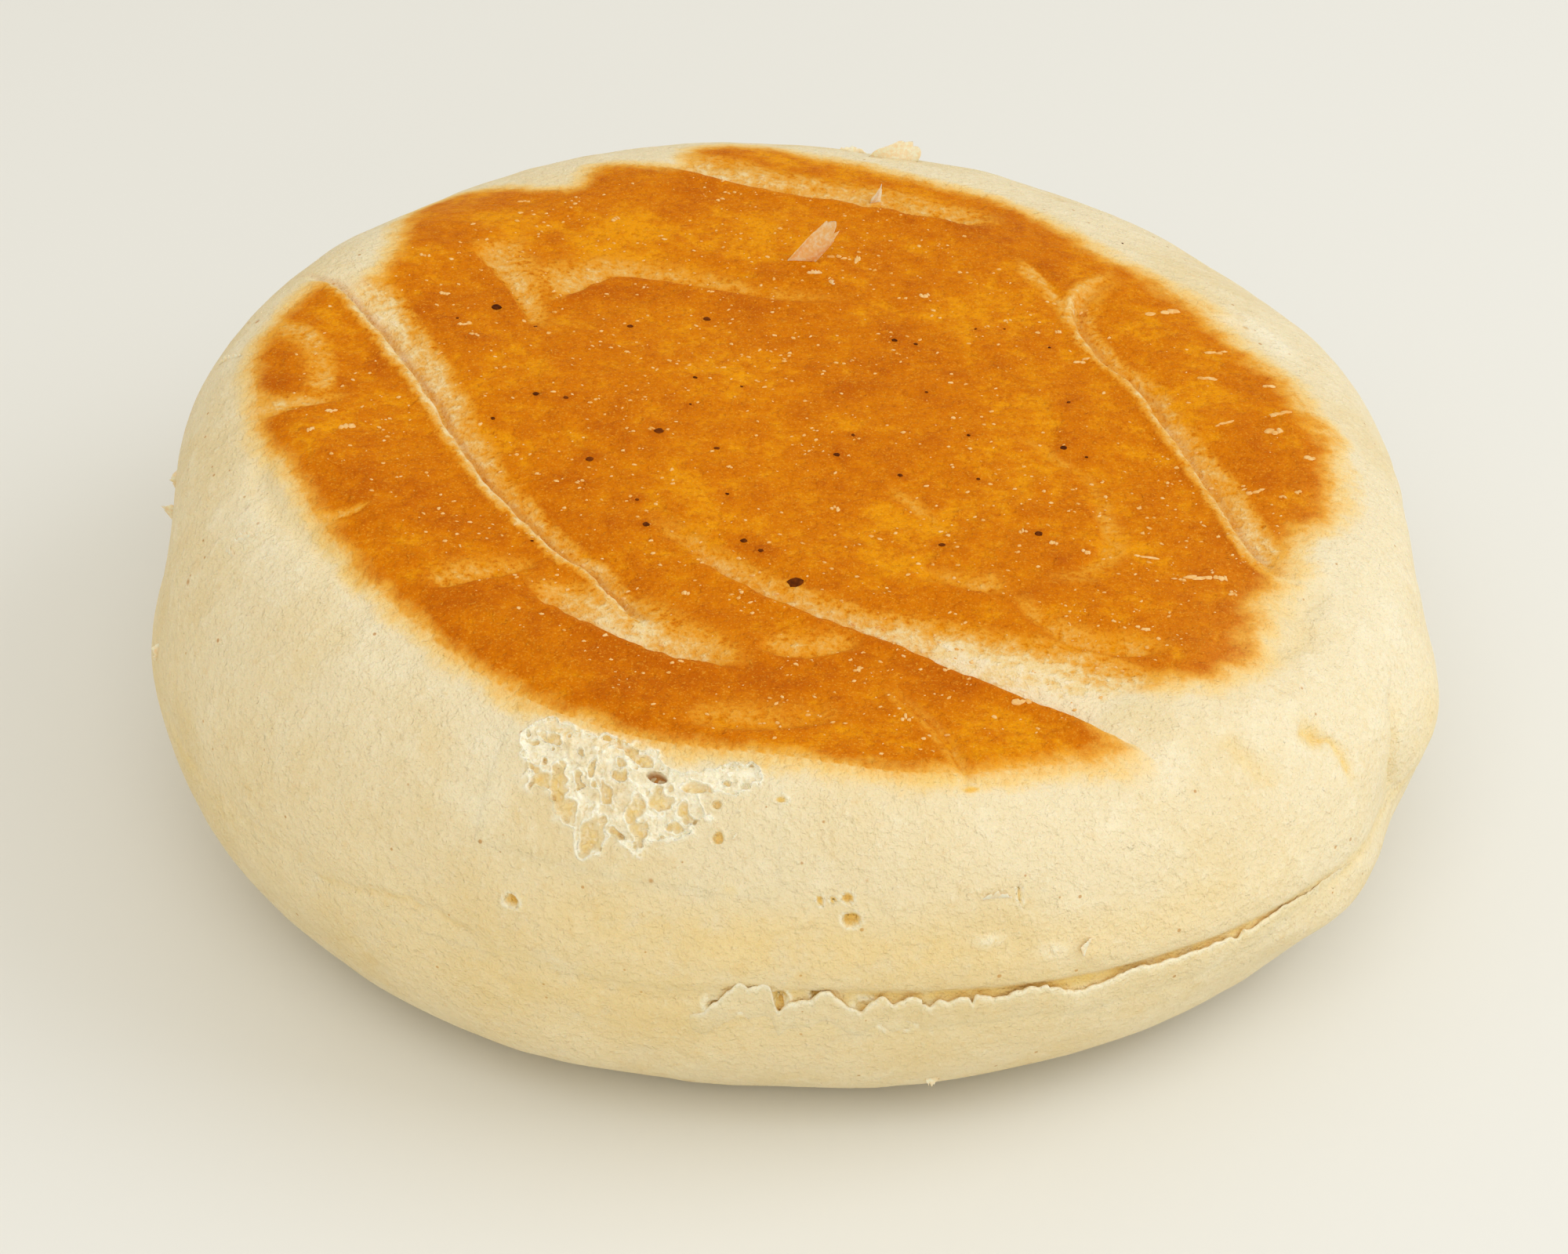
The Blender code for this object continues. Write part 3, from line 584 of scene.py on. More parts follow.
def gridFaces(rows, columns, wrap):  # quads of a grid, joined at its sides where wrap is true
    index = np.arange(rows * columns).reshape(rows, columns)
    after = np.roll(index, -1, axis=1)
    if not wrap:
        index, after = index[:, :-1], index[:, 1:]
    quads = np.stack((index[:-1], index[1:], after[1:], after[:-1]), -1)
    return quads.reshape(-1, 4).tolist()


# Colours, each as red, green and blue from 0 to 255 on screen

def paint(red, green, blue):  # the screen's colour as linear light
    share = np.array((red, green, blue)) / 255
    linear = np.where(share <= 0.04045, share / 12.92, ((share + 0.055) / 1.055) ** 2.4)
    return (*linear.tolist(), 1.0)


class Shader:
    # A material's node tree, with short calls for the nodes used here

    def __init__(self, name):  # places are the object's own, in millimetres
        self.material = bpy.data.materials.new(name)
        self.material.use_nodes = True
        self.tree = self.material.node_tree
        self.surface = self.tree.nodes["Principled BSDF"]
        self.place = self.add("VectorMath", {0: self.add("TexCoord", {}, "Object"),
                                             "Scale": 1 / millimetre}, operation="SCALE")

    def put(self, socket, value):  # a link or a fixed value
        if isinstance(value, bpy.types.NodeSocket):
            self.tree.links.new(value, socket)
        else:
            socket.default_value = value

    def add(self, kind, values, output=0, **settings):  # a node, its settings and its inputs
        node = self.tree.nodes.new("ShaderNode" + kind)
        for name, value in settings.items():
            setattr(node, name, value)
        for name, value in values.items():
            self.put(node.inputs[name], value)
        return node.outputs[output]

    def attribute(self, name):  # the piece's own value
        return self.add("Attribute", {}, "Fac", attribute_name=name)

    def calc(self, operation, first, second=0.0, third=0.0):  # one sum
        return self.add("Math", {0: first, 1: second, 2: third}, operation=operation)

    def scaled(self, value, share, plus=0.0):  # value times share, and plus
        return self.calc("MULTIPLY_ADD", value, share, plus)

    def noise(self, cell, detail, roughness):  # soft noise about cell millimetres wide
        return self.add("TexNoise", {"Scale": 1 / cell, "Detail": detail, "Roughness": roughness,
                                     "Vector": self.place}, "Fac")

    def spots(self, cell, radius, share):  # round spots: cell apart, a share of them kept
        values = {"Scale": 1 / cell, "Vector": self.place}
        distance = self.add("TexVoronoi", values, "Distance")
        split = self.add("SeparateColor", {0: distance.node.outputs["Color"]}).node
        kept = self.calc("LESS_THAN", split.outputs[0], share)
        size = self.calc("MULTIPLY", split.outputs[1], radius / cell)
        inside = self.ramp(self.calc("SUBTRACT", distance, size), 0.04, -0.02)
        return self.calc("MULTIPLY", inside, kept)

    def ramp(self, value, low, high):  # 0 at low to 1 at high, smooth between
        falling = low > high
        return self.add("MapRange", {
            "Value": value, "From Min": min(low, high), "From Max": max(low, high),
            "To Min": float(falling), "To Max": float(not falling),
        }, "Result", interpolation_type="SMOOTHSTEP")

    def mix(self, share, first, second):  # from first to second by share
        return self.add("Mix", {"Factor": share, 6: first, 7: second}, 2, data_type="RGBA")

    def bump(self, height, depth, before=None):  # depth in millimetres for a height of one
        values = {"Strength": 1.0, "Distance": depth * millimetre, "Height": height}
        if before is not None:
            values["Normal"] = before
        return self.add("Bump", values, "Normal")

    def finish(self, colour, normal, roughness, softness, radius, scale):
        # The dull surface of bread, which lets a little light in
        for name, value in {
            "Base Color": colour, "Normal": normal, "Roughness": roughness,
            "Specular IOR Level": 0.04, "Subsurface Weight": softness,
            "Subsurface Radius": radius, "Subsurface Scale": scale * millimetre,
        }.items():
            self.put(self.surface.inputs[name], value)
        return self.material


skinPaint = {
    "dough": paint(233, 217, 178),
    "warmDough": paint(227, 204, 152),
    "lightDough": paint(243, 233, 202),
    "doughFleck": paint(218, 182, 118),
    "nearToast": paint(238, 204, 134),
    "edgeToast": paint(232, 168, 62),
    "amber": paint(230, 148, 6),
    "toast": paint(209, 117, 0),
    "darkToast": paint(190, 96, 0),
    "grainLight": paint(238, 170, 56),
    "grainDark": paint(176, 84, 0),
    "thinToast": paint(226, 150, 36),
    "paleToast": paint(229, 174, 86),
    "untoasted": paint(235, 206, 146),
    "bareDough": paint(240, 222, 182),
    # painted shade: the colour of the dark bottom of each fold and of the deep torn hole
    "foldShadeTone": paint(204, 138, 58),
    # painted shade and glow in grooves, pits, creases and torn floors, and the colour of golden
    # tears
    "goldenShade": paint(238, 200, 104),
    "tornWhite": paint(250, 245, 222),
    "bran": paint(184, 124, 54),
    "doughRoughness": 0.62,
    "softness": 0.12,
}


def skinMaterial():
    # Pale dough and toasted face in one skin. The toasted share follows the stored distance
    # from its edge, loosened by grain, and the pale bands thin it. Lighter and darker grain
    # lies over both.
    colours = skinPaint
    skin = Shader("griddledSkin")
    broad = skin.noise(9.0, 3.0, 0.55)
    patchy = skin.noise(2.4, 4.0, 0.6)
    fleck = skin.noise(0.9, 3.0, 0.65)
    grain = skin.noise(0.4, 2.0, 0.6)
    fine = skin.noise(0.17, 2.0, 0.6)

    def over(below, share, amount, name):  # one more tone over those below
        return skin.mix(skin.calc("MULTIPLY", share, amount), below, colours[name])

    def toned(below, *rows):  # tones over below, each as (value, low, high, amount, name)
        for value, low, high, amount, name in rows:
            below = over(below, skin.ramp(value, low, high), amount, name)
        return below

    dough = toned(colours["dough"], (broad, 0.38, 0.70, 0.6, "warmDough"),
                  (patchy, 0.48, 0.75, 0.4, "lightDough"),
                  (fleck, 0.56, 0.78, 0.32, "doughFleck"),
                  (grain, 0.52, 0.75, 0.35, "lightDough"))
    dough = over(dough, skin.spots(4.3, 0.8, 0.35), 0.22, "doughFleck")
    specks = skin.calc("MAXIMUM", skin.spots(1.3, 0.14, 0.4), skin.spots(3.7, 0.26, 0.45))
    dough = over(dough, specks, 0.7, "bran")

    reach = toastEdge["reach"]
    distance = skin.scaled(skin.attribute("toast"), 2 * reach, -reach)
    loose = skin.calc("ADD", distance, skin.scaled(patchy, 2.2, -1.1))
    inToast = skin.calc("ADD", loose, skin.scaled(grain, 0.9, -0.45))
    pale = skin.attribute("pale")
    covered = skin.ramp(pale, 1.3, 0.7)  # the toasted edge is lost where a pale band crosses it

    mottle = skin.scaled(broad, 0.35, skin.scaled(patchy, 0.40))
    for value, share in ((fleck, 0.25), (skin.attribute("tone"), 0.10)):
        mottle = skin.scaled(value, share, mottle)
    crust = toned(colours["amber"], (mottle, 0.37, 0.53, 1.0, "toast"),
                  (mottle, 0.50, 0.68, 1.0, "darkToast"), (fine, 0.55, 0.72, 0.5, "grainLight"),
                  (grain, 0.60, 0.76, 0.3, "grainLight"), (grain, 0.48, 0.30, 0.35, "grainDark"))

    loosened = skin.scaled(skin.calc("SUBTRACT", fleck, 0.5), 1.4, skin.scaled(grain, 1.0, -0.5))
    thin = skin.calc("MULTIPLY", pale, skin.scaled(patchy, 1.6, 0.2))
    thin = skin.scaled(loosened, skin.ramp(pale, 0.02, 0.4), thin)
    crust = toned(crust, (thin, 0.03, 0.36, 1.0, "thinToast"),
                  (thin, 0.24, 0.78, 1.0, "paleToast"), (thin, 0.62, 1.15, 1.0, "untoasted"),
                  (thin, 1.05, 1.6, 1.0, "bareDough"))

    colour = toned(dough, (inToast, -1.7, -0.5, covered, "nearToast"),
                   (inToast, -0.9, 0.5, covered, "edgeToast"))
    colour = skin.mix(skin.ramp(inToast, -0.1, 1.3), colour, crust)
    # painted shade along the bottom of each fold and in the deep torn hole
    colour = over(colour, skin.attribute("foldShade"), 0.62, "foldShadeTone")
    # golden colour of tears and thin places, and golden painted shade in grooves, pits, creases
    # and torn floors
    goldenShade = skin.calc("MULTIPLY", skin.attribute("goldAndShade"), skin.ramp(patchy, 0.15, 0.55))
    colour = over(colour, goldenShade, 0.9, "goldenShade")
    white = skin.calc("MULTIPLY", skin.attribute("white"), skin.ramp(grain, 0.25, 0.5))
    colour = skin.mix(white, colour, colours["tornWhite"])

    rough = None
    for height, depth in ((patchy, 0.30), (fleck, 0.28), (grain, 0.16), (fine, 0.05)):
        rough = skin.bump(height, depth, rough)
    return skin.finish(colour, rough, colours["doughRoughness"], colours["softness"],
                       (1.0, 0.55, 0.25), 1.6)


def scrapMaterial(name, dark, light, softness):
    # Small scraps: two tones by the piece's own share, with a fine grain
    scrap = Shader(name)
    grain = scrap.noise(0.3, 3.0, 0.6)
    share = scrap.scaled(scrap.attribute("shade"), 0.6,
                         scrap.scaled(scrap.ramp(grain, 0.35, 0.7), 0.5))
    return scrap.finish(scrap.mix(share, dark, light), scrap.bump(grain, 0.05), 0.8, softness,
                        (1.0, 0.6, 0.3), 0.8)


# The main skin, in five sheets that share their border rings

crustSheets = {  # level of the first and last ring, number of steps, number of columns
    "crustMiddle": (179.3, 132.0, 96, 500),
    "crustRim": (132.0, 84.0, 96, 1000),
    "crustSide": (84.0, 0.0, 96, 1000),
    "crustLower": (0.0, -96.0, 62, 1000),
    "crustBase": (-96.0, -179.0, 16, 500),
}
frontDensity = 0.4  # how much closer the columns stand in front


def roundDirections(columns):  # directions all round, closer together in front
    turn = np.linspace(-np.pi, np.pi, columns, endpoint=False)
    return -90 + np.degrees(turn - frontDensity * np.sin(turn))


def makeCrustSheet(name, material):
    # Rings of (direction, level) carried out by skinFields. One ring more at each end gives
    # the border the same normals as its neighbour. A ring shared with a sheet of half the
    # columns has its odd points halfway between the even ones, and the ends get a middle.
    first, last, steps, columns = crustSheets[name]
    step = (last - first) / steps
    level = first + step * np.arange(-1, steps + 2)
    directions, levels = np.meshgrid(roundDirections(columns), level)
    points, outward, fields = skinFields(directions, np.clip(levels, -179.9, 179.9))
    normals = gridNormals(points, wrap=True)[1:-1]
    points = points[1:-1]
    fields = {field: values[1:-1] for field, values in fields.items()}
    for row, border in ((0, name == "crustRim"), (-1, name == "crustLower")):
        if border:
            for values in (points, normals, *fields.values()):
                middle = (values[row] + np.roll(values[row], -2, axis=0)) / 2
                values[row, 1::2] = middle[0::2]
    faces = gridFaces(steps + 1, columns, wrap=True)
    points, normals = points.reshape(-1, 3), normals.reshape(-1, 3)
    if name in ("crustMiddle", "crustBase"):
        ring = np.arange(columns) + (name == "crustBase") * steps * columns
        after = np.roll(ring, -1)
        pairs = zip(ring, after) if name == "crustMiddle" else zip(after, ring)
        faces += [(len(points), int(a), int(b)) for a, b in pairs]
        points = np.vstack((points, points[ring].mean(axis=0)))
        normals = np.vstack((normals, normals[ring].mean(axis=0)))
        fields = {field: np.append(values.ravel(), values.ravel()[ring].mean())
                  for field, values in fields.items()}
    placeMesh(name, points, faces, fields, material, normals)


# Torn crumb inside the patch

tornGrid = {
    "across": (-119, -90.5), "up": (23, 80), "columns": 340, "rows": 260,
    "shiftX": ((0.5, 1.2, 54), (0.35, 0.5, 55)), "shiftY": ((0.5, 1.2, 56), (0.35, 0.5, 57)),
}


def makeTornCrumb(material):
    # A fine sheet over the patch. Outside the torn edge it lies just on the skin and dips
    # under it; inside, floors coloured with golden painted shade are sunk between ragged white
    # ridges, and one deep hole opens, darkened with painted shade.
    grid, hole = tornGrid, tornHole
    direction = np.linspace(*grid["across"], grid["columns"])
    level = np.linspace(grid["up"][1], grid["up"][0], grid["rows"])
    directions, levels = np.meshgrid(direction, level)
    points, outward, fields = skinFields(directions, levels, covered=False)
    coarse, medium, small, tiny, holes = (
        doughNoise(points, cell, seed)
        for cell, seed in ((1.3, 51), (0.6, 52), (0.28, 53), (0.16, 59), (0.55, 58)))
    ragged = 0.5 * coarse + 0.4 * medium + 0.3 * small
    perDegree, perLevel = flatSkin(1.0, 1.0, 0)
    turned = directions + layered(points, grid["shiftX"]) / perDegree
    raised = levels + layered(points, grid["shiftY"]) / perLevel
    inside = patchDistance(turned, raised) + 0.35 * ragged
    floor = np.max([1 - np.hypot((turned - turn) / (0.9 * wide), (raised - up) / (0.9 * tall))
                    for turn, up, wide, tall in tornPatch["floors"]], axis=0)
    floor = np.maximum(np.maximum(floor, -5) + 0.4 * ragged, 1.5 * (holes - 0.66))
    holeGap = np.hypot((directions - hole["place"][0]) / hole["half"][0],
                       (levels - hole["place"][1]) / hole["half"][1]) + 0.12 * ragged
    inHole = 1 - softStep(holeGap, 0.75, 1.0)
    torn = softStep(inside, 0.0, 0.16)
    sunk = softStep(floor, -0.26, 0.22)
    ridges = 0.6 * np.abs(coarse) + 0.5 * np.abs(medium) + 0.25 * small + 0.08 * tiny
    height = -torn * (0.05 + 0.34 * ridges) - torn * sunk * (0.17 + 0.06 * small)
    height += 0.14 * bell(inside, -0.02, 0.15) + 0.10 * torn * bell(floor, -0.22, 0.16)
    height -= hole["depth"] * inHole
    across = np.minimum(directions - grid["across"][0], grid["across"][1] - directions)
    up = np.minimum(levels - grid["up"][0], grid["up"][1] - levels)
    border = np.minimum(across * perDegree, up * perLevel)
    height += 0.05 - 0.16 * (1 - softStep(border, 0, 2.2))
    points = points + outward * height[..., None]
    crumb = 0.5 + 0.3 * medium + 0.3 * small + 0.15 * tiny + 0.55 * bell(floor, -0.2, 0.18)
    rimWhite = 0.9 * bell(inside, 0.08, 0.3) * (1 - sunk)
    ridgeWhite = torn * (1 - sunk) * np.clip(crumb, 0, 1)
    floorWhite = torn * sunk * 0.45 * softStep(small + tiny, 0.0, 0.9)
    white = np.max([rimWhite, ridgeWhite, floorWhite], axis=0)
    fields["white"] = np.clip(white * (1 - inHole), 0, 1)
    # painted shade: golden in the sunk floors of the torn crumb
    sunkShade = 0.26 + 0.34 * softStep(floor, 0.1, 0.9) + 0.2 * medium + 0.1 * small
    fields["goldAndShade"] = np.clip(np.maximum(fields["goldAndShade"] * (1 - torn), torn * sunk * sunkShade), 0, 1)
    # painted shade darkens the deep hole
    fields["foldShade"] = np.maximum(fields["foldShade"], 1.4 * inHole)
    faces = gridFaces(grid["rows"], grid["columns"], wrap=False)
    placeMesh("tornCrumb", points, faces, fields, material, gridNormals(points, False))


# Ragged upturned lip of the lower dough along the seam, as (direction, level) places

seamLip = {
    "edge": (
        (-101, -9), (-99.2, -7), (-98, -5.5), (-95.8, 0.5), (-94.5, 1), (-93, 1.5), (-92.7, 0),
        (-92.2, -4), (-91.6, -1.5), (-90, -1), (-88.5, 0.6), (-87.5, -0.5), (-86, -4), (-85, -1),
        (-84.2, 0.6), (-83.2, -0.5), (-81.2, 0.2), (-80.9, -1), (-77.8, -0.8), (-77.2, -2.4),
        (-76.8, -0.5), (-75, -1), (-74, 0.2), (-72.5, 0.6), (-71.4, 0.6), (-71, -0.6),
        (-69.2, -1.2), (-68.2, -2.2), (-66.5, -1), (-65, 0.6), (-63.8, 1), (-62.5, 0.5),
        (-60.2, 0.5), (-57.2, 0), (-56, 0.2), (-55, -1), (-54.4, 0.4), (-53.5, -0.5), (-52, 0.2),
        (-47, -0.3), (-42, -1), (-34, -1.5)),
    "ragged": ((0.8, 1.4, 71), (0.6, 0.6, 72), (0.3, 0.3, 75)),
    "raggedAt": ((-86, 1.0), (-76, 0.75), (-55, 0.4)),
    "strongAt": ((-101, 0), (-98, 1), (-58, 1), (-47, 0.4), (-37, 0)),
    "bumps": ((0.35, 1.4, 73), (0.2, 0.5, 74)),
    "columns": 1100, "reach": 10.0, "rise": 0.24, "raise": 0.9,
}


def makeSeamLip(material):
    # Across: up the outside of the lip, over its ragged edge and down into the groove. drop is
    # how far below the edge each row lies, and out how far it stands out, both as shares.
    lip = seamLip
    turns, heights = smoothPath(lip["edge"], 800).T
    direction = np.linspace(turns[0], turns[-1], lip["columns"])
    spot = direction[:, None] * (0.85, 0, 0)
    ragged = np.interp(direction, *np.array(lip["raggedAt"]).T) * layered(spot, lip["ragged"])
    edge = np.interp(direction, turns, heights) + lip["raise"] + ragged
    drop = np.array((1.0, 0.8, 0.6, 0.42, 0.28, 0.16, 0.08, 0.03, 0.0, 0.0, 0.03, 0.12, 0.25))
    out = np.array((-0.2, 0.15, 0.5, 0.75, 0.9, 1.0, 1.05, 1.0, 0.75, 0.2, -0.1, -0.8, -2.2))
    inGroove = np.arange(len(drop))[:, None] > 9
    directions, levels = np.broadcast_arrays(direction, edge - lip["reach"] * drop[:, None])
    points, outward, fields = skinFields(directions, levels)
    strength = np.interp(direction, *np.array(lip["strongAt"]).T)
    risen = lip["rise"] * out[:, None] * strength * (1 + layered(points, lip["bumps"]))
    base = smoothForm(directions, levels)[0]
    offset = sum(softMarks(swells, directions, levels)) + layered(base, muffinForm["lumps"])
    offset = offset + seamRelief(directions, np.minimum(levels, edge - 4)) + risen
    points = base + outward * (offset - 0.25 * (1 - strength))[..., None]
    fields["white"] = 0.5 * bell(drop[:, None], 0, 0.10) * strength * (1 - inGroove)
    # painted shade and glow: golden in the groove rows
    fields["goldAndShade"] = np.where(inGroove, 0.95, np.minimum(fields["goldAndShade"], 0.36 - 0.2 * strength))
    faces = [face[::-1] for face in gridFaces(len(drop), lip["columns"], wrap=False)]
    placeMesh("seamLip", points, faces, fields, material)


# Small loose things lying on the skin

def surfaceFrame(direction, level):
    # Places on the finished skin with their outward normal and two directions along it
    step = 0.3
    middle = skinFields(direction, level)[0]
    along = skinFields(direction + step, level)[0] - middle
    up = skinFields(direction, level - step)[0] - middle
    normal = np.cross(up, along)
    normal /= np.linalg.norm(normal, axis=-1, keepdims=True)
    east = np.cross((0, 0, 1.0), normal) + (1e-6, 0, 0)
    flat = np.abs(normal[..., 2:]) > 0.8
    east = np.where(flat, np.cross((0, 1.0, 0), normal), east)
    east /= np.linalg.norm(east, axis=-1, keepdims=True)
    return middle, normal, east, np.cross(normal, east)


blobShape = {  # points round, and for the rings inwards: share of the size, share of the height
    "segments": 10, "shares": (1.0, 0.85, 0.5), "rises": (-0.35, 0.45, 0.9), "jitter": 0.15,
}


def makeBlobs(name, direction, level, length, width, height, turn, uneven, material):
    # Low irregular domes: rings of points round each middle, the outer ring just under the skin
    random = np.random.default_rng(len(direction))
    middle, normal, east, north = surfaceFrame(direction, level)
    share, rise = (np.array(blobShape[part])[:, None] for part in ("shares", "rises"))
    segments, jitter = blobShape["segments"], blobShape["jitter"]
    angle = np.linspace(0, 2 * np.pi, segments, endpoint=False)
    count = len(direction)
    radius = share * (1 + random.uniform(-uneven, uneven, (count, 1, segments)))
    length, width, tall = (size[:, None, None] for size in (length, width, height))
    cosTurn, sinTurn = (run(np.radians(turn))[:, None, None] for run in (np.cos, np.sin))
    a = radius * np.cos(angle) * length / 2
    b = radius * np.sin(angle) * width / 2
    z = tall * (rise + random.uniform(-jitter, jitter, (count, 3, segments)))
    rings = (middle[:, None, None] + (a * cosTurn - b * sinTurn)[..., None] * east[:, None, None]
             + (a * sinTurn + b * cosTurn)[..., None] * north[:, None, None]
             + z[..., None] * normal[:, None, None])
    tops = middle + normal * height[:, None]
    points = np.concatenate((rings.reshape(count, -1, 3), tops[:, None]), axis=1)
    ring = range(segments)
    quads = [(r + i, r + j, r + segments + j, r + segments + i)
             for r in (0, segments) for i, j in zip(ring, (*ring[1:], 0))]
    caps = [(2 * segments + i, 2 * segments + j, 3 * segments)
            for i, j in zip(ring, (*ring[1:], 0))]
    size = 3 * segments + 1
    faces = [tuple(index + size * k for index in face)
             for k in range(count) for face in quads + caps]
    shade = np.repeat(random.uniform(0, 1, count), size)
    placeMesh(name, points.reshape(-1, 3), faces, {"shade": shade}, material)


charSpecks = (  # place on the top, and size
    (-0.7, -22.3, 1.15), (-23, 8.2, 0.8), (-13, 7.2, 0.5), (-7.3, 9, 0.55), (6.8, 7.7, 0.5),
    (8.4, 7.4, 0.35), (-19.5, -2.8, 0.45), (-17.3, -3, 0.4), (-22.4, -5.8, 0.35),
    (-10.5, -6.2, 0.75), (-6.3, -7.8, 0.45), (-15.3, -10, 0.55), (2.3, -7.4, 0.5),
    (18.8, -4.7, 0.5), (19.5, 0.9, 0.3), (3.5, -4.9, 0.3), (11.9, -4.1, 0.3), (6.8, -9.4, 0.35),
    (12.4, -9.3, 0.3), (-5.5, -13, 0.3), (-11.8, -14.3, 0.3), (-11.1, -17.1, 0.5),
    (-4.3, -18, 0.5), (-3.1, -19, 0.4), (9.5, -17.3, 0.5), (16.4, -15.3, 0.55),
    (-18.8, -20.3, 0.25), (18.5, 8.1, 0.25), (13, 9.8, 0.25), (15.2, 10.1, 0.2), (-20, 6.2, 0.3),
    (-8, 0.7, 0.35), (20.4, -5.6, 0.25), (9, 1.1, 0.25), (-4.6, 0, 0.25), (-8.3, -2.7, 0.2),
    (-25.8, 6.4, 0.25), (21, 21.5, 0.2),
)


def makeCharSpecks(material):  # dark specks, each a little turned and flattened
    x, y, size = np.array(charSpecks).T
    random = np.random.default_rng(5)
    direction, level = topPlace(x, y)
    turn = random.uniform(-25, 35, len(x))
    width = size * random.uniform(0.75, 1.15, len(x))
    makeBlobs("charSpecks", direction, level, size * 1.1, width, 0.04 + 0.04 * size, turn, 0.15,
              material)


flourFlakes = (  # place on the top, length, width and turn of the larger pale scraps
    (26, 14, 2.4, 0.7, 25), (31, 9.3, 2, 0.4, 15), (30.3, 5.5, 1.4, 0.5, 0),
    (35.3, 5.3, 1.2, 0.4, 5), (35.7, 1.5, 2.2, 0.5, 20), (34.8, -1.1, 1.6, 0.6, 5),
    (30.8, -0.4, 1.6, 0.3, 30), (32.6, -8, 1.6, 0.4, 20), (34.6, -8.6, 0.7, 0.3, 0),
    (36.3, -8.1, 0.7, 0.3, 10), (23.8, -17, 1.9, 0.4, -5), (27.5, -18.9, 2, 0.4, 12),
    (28.9, -18.7, 1, 0.6, 10), (26, -19.3, 0.9, 0.3, 5), (29.7, -20.6, 0.9, 0.5, -35),
    (23, -25, 1.1, 0.5, 0), (38.2, -4, 1.2, 0.4, 10), (-25.2, 5.6, 1.1, 0.5, 15),
    (-24.3, 4.3, 0.8, 0.4, 0), (-27, 9.7, 0.8, 0.4, 0), (-32.5, -8.9, 1.2, 0.8, 0),
    (-35.2, -9.5, 0.8, 0.6, 10), (-8.2, -24.8, 0.7, 0.5, 0), (14.3, -34, 1.4, 0.8, 30),
    (6.5, -36.7, 0.8, 0.6, 0), (3.4, -31.8, 0.7, 0.4, 20), (19.6, -17, 0.6, 0.5, 0),
    (15.3, -15.1, 0.6, 0.5, 0), (17.4, -16.4, 0.7, 0.5, 0), (2.1, -13.7, 0.7, 0.6, 0),
    (-33.8, -6.9, 0.9, 0.3, 20), (-21.5, 24, 1, 0.4, 10), (-14.6, 22, 0.9, 0.5, 40),
    (2.7, 18.8, 1.5, 0.5, 10), (4.2, 18.6, 0.6, 0.9, 0), (9.3, 14, 0.8, 0.6, 20),
    (15.5, 11.3, 0.7, 0.5, 0), (-28.8, 14.5, 0.9, 0.4, 0), (20.8, 6.6, 1.3, 0.5, 10),
    (19.3, 10.3, 0.6, 0.5, 0), (30, -11.5, 0.8, 0.3, 0),
)
flourDust = {"count": 1500, "length": (0.14, 0.42), "seed": 8,
             "drifts": ((0.5, 6.0, 81), (0.35, 2.0, 82))}


def makeFlour(material):
    # The larger scraps, each three overlapping ones in a ragged row, then dust thrown over the
    # toasted face, thicker in some places
    random = np.random.default_rng(flourDust["seed"])
    x, y, length, width, turn = np.repeat(np.array(flourFlakes), 3, axis=0).T
    apart = np.tile((-0.3, 0.0, 0.3), len(flourFlakes))
    run = length * (apart + random.uniform(-0.08, 0.08, len(x)))
    aside = width * random.uniform(-0.35, 0.35, len(x))
    cosTurn, sinTurn = np.cos(np.radians(turn)), np.sin(np.radians(turn))
    x = x + run * cosTurn - aside * sinTurn
    y = y + run * sinTurn + aside * cosTurn
    length = length * random.uniform(0.25, 0.6, len(x))
    width = width * random.uniform(0.45, 1.1, len(x))
    spread = random.uniform(-42, 42, (12000, 2))
    flat = np.append(spread, np.zeros((len(spread), 1)), axis=1)
    dense = 0.5 + layered(flat, flourDust["drifts"])
    level = topPlace(*spread.T)[1]
    inToast = besidePath(*spread.T, smoothPath(toastOutline, 200, closed=True), closed=True)[0]
    keep = (inToast > 0.8) & (random.uniform(0, 1.2, len(spread)) < dense) & (level > 86)
    dust = spread[keep][:flourDust["count"]]
    count = len(dust)
    small = random.uniform(0, 1, count) ** 2.2
    low, high = flourDust["length"]
    dustLength = low + (high - low) * small
    direction, level = topPlace(np.append(x, dust[:, 0]), np.append(y, dust[:, 1]))
    widths = np.append(width, dustLength * random.uniform(0.45, 0.8, count))
    turns = np.append(turn, random.uniform(-40, 60, count))
    heights = np.append(0.08 + 0 * length, 0.03 + 0.04 * small)
    makeBlobs("flourDust", direction, level, np.append(length, dustLength), widths, heights,
              turns, 0.28, material)


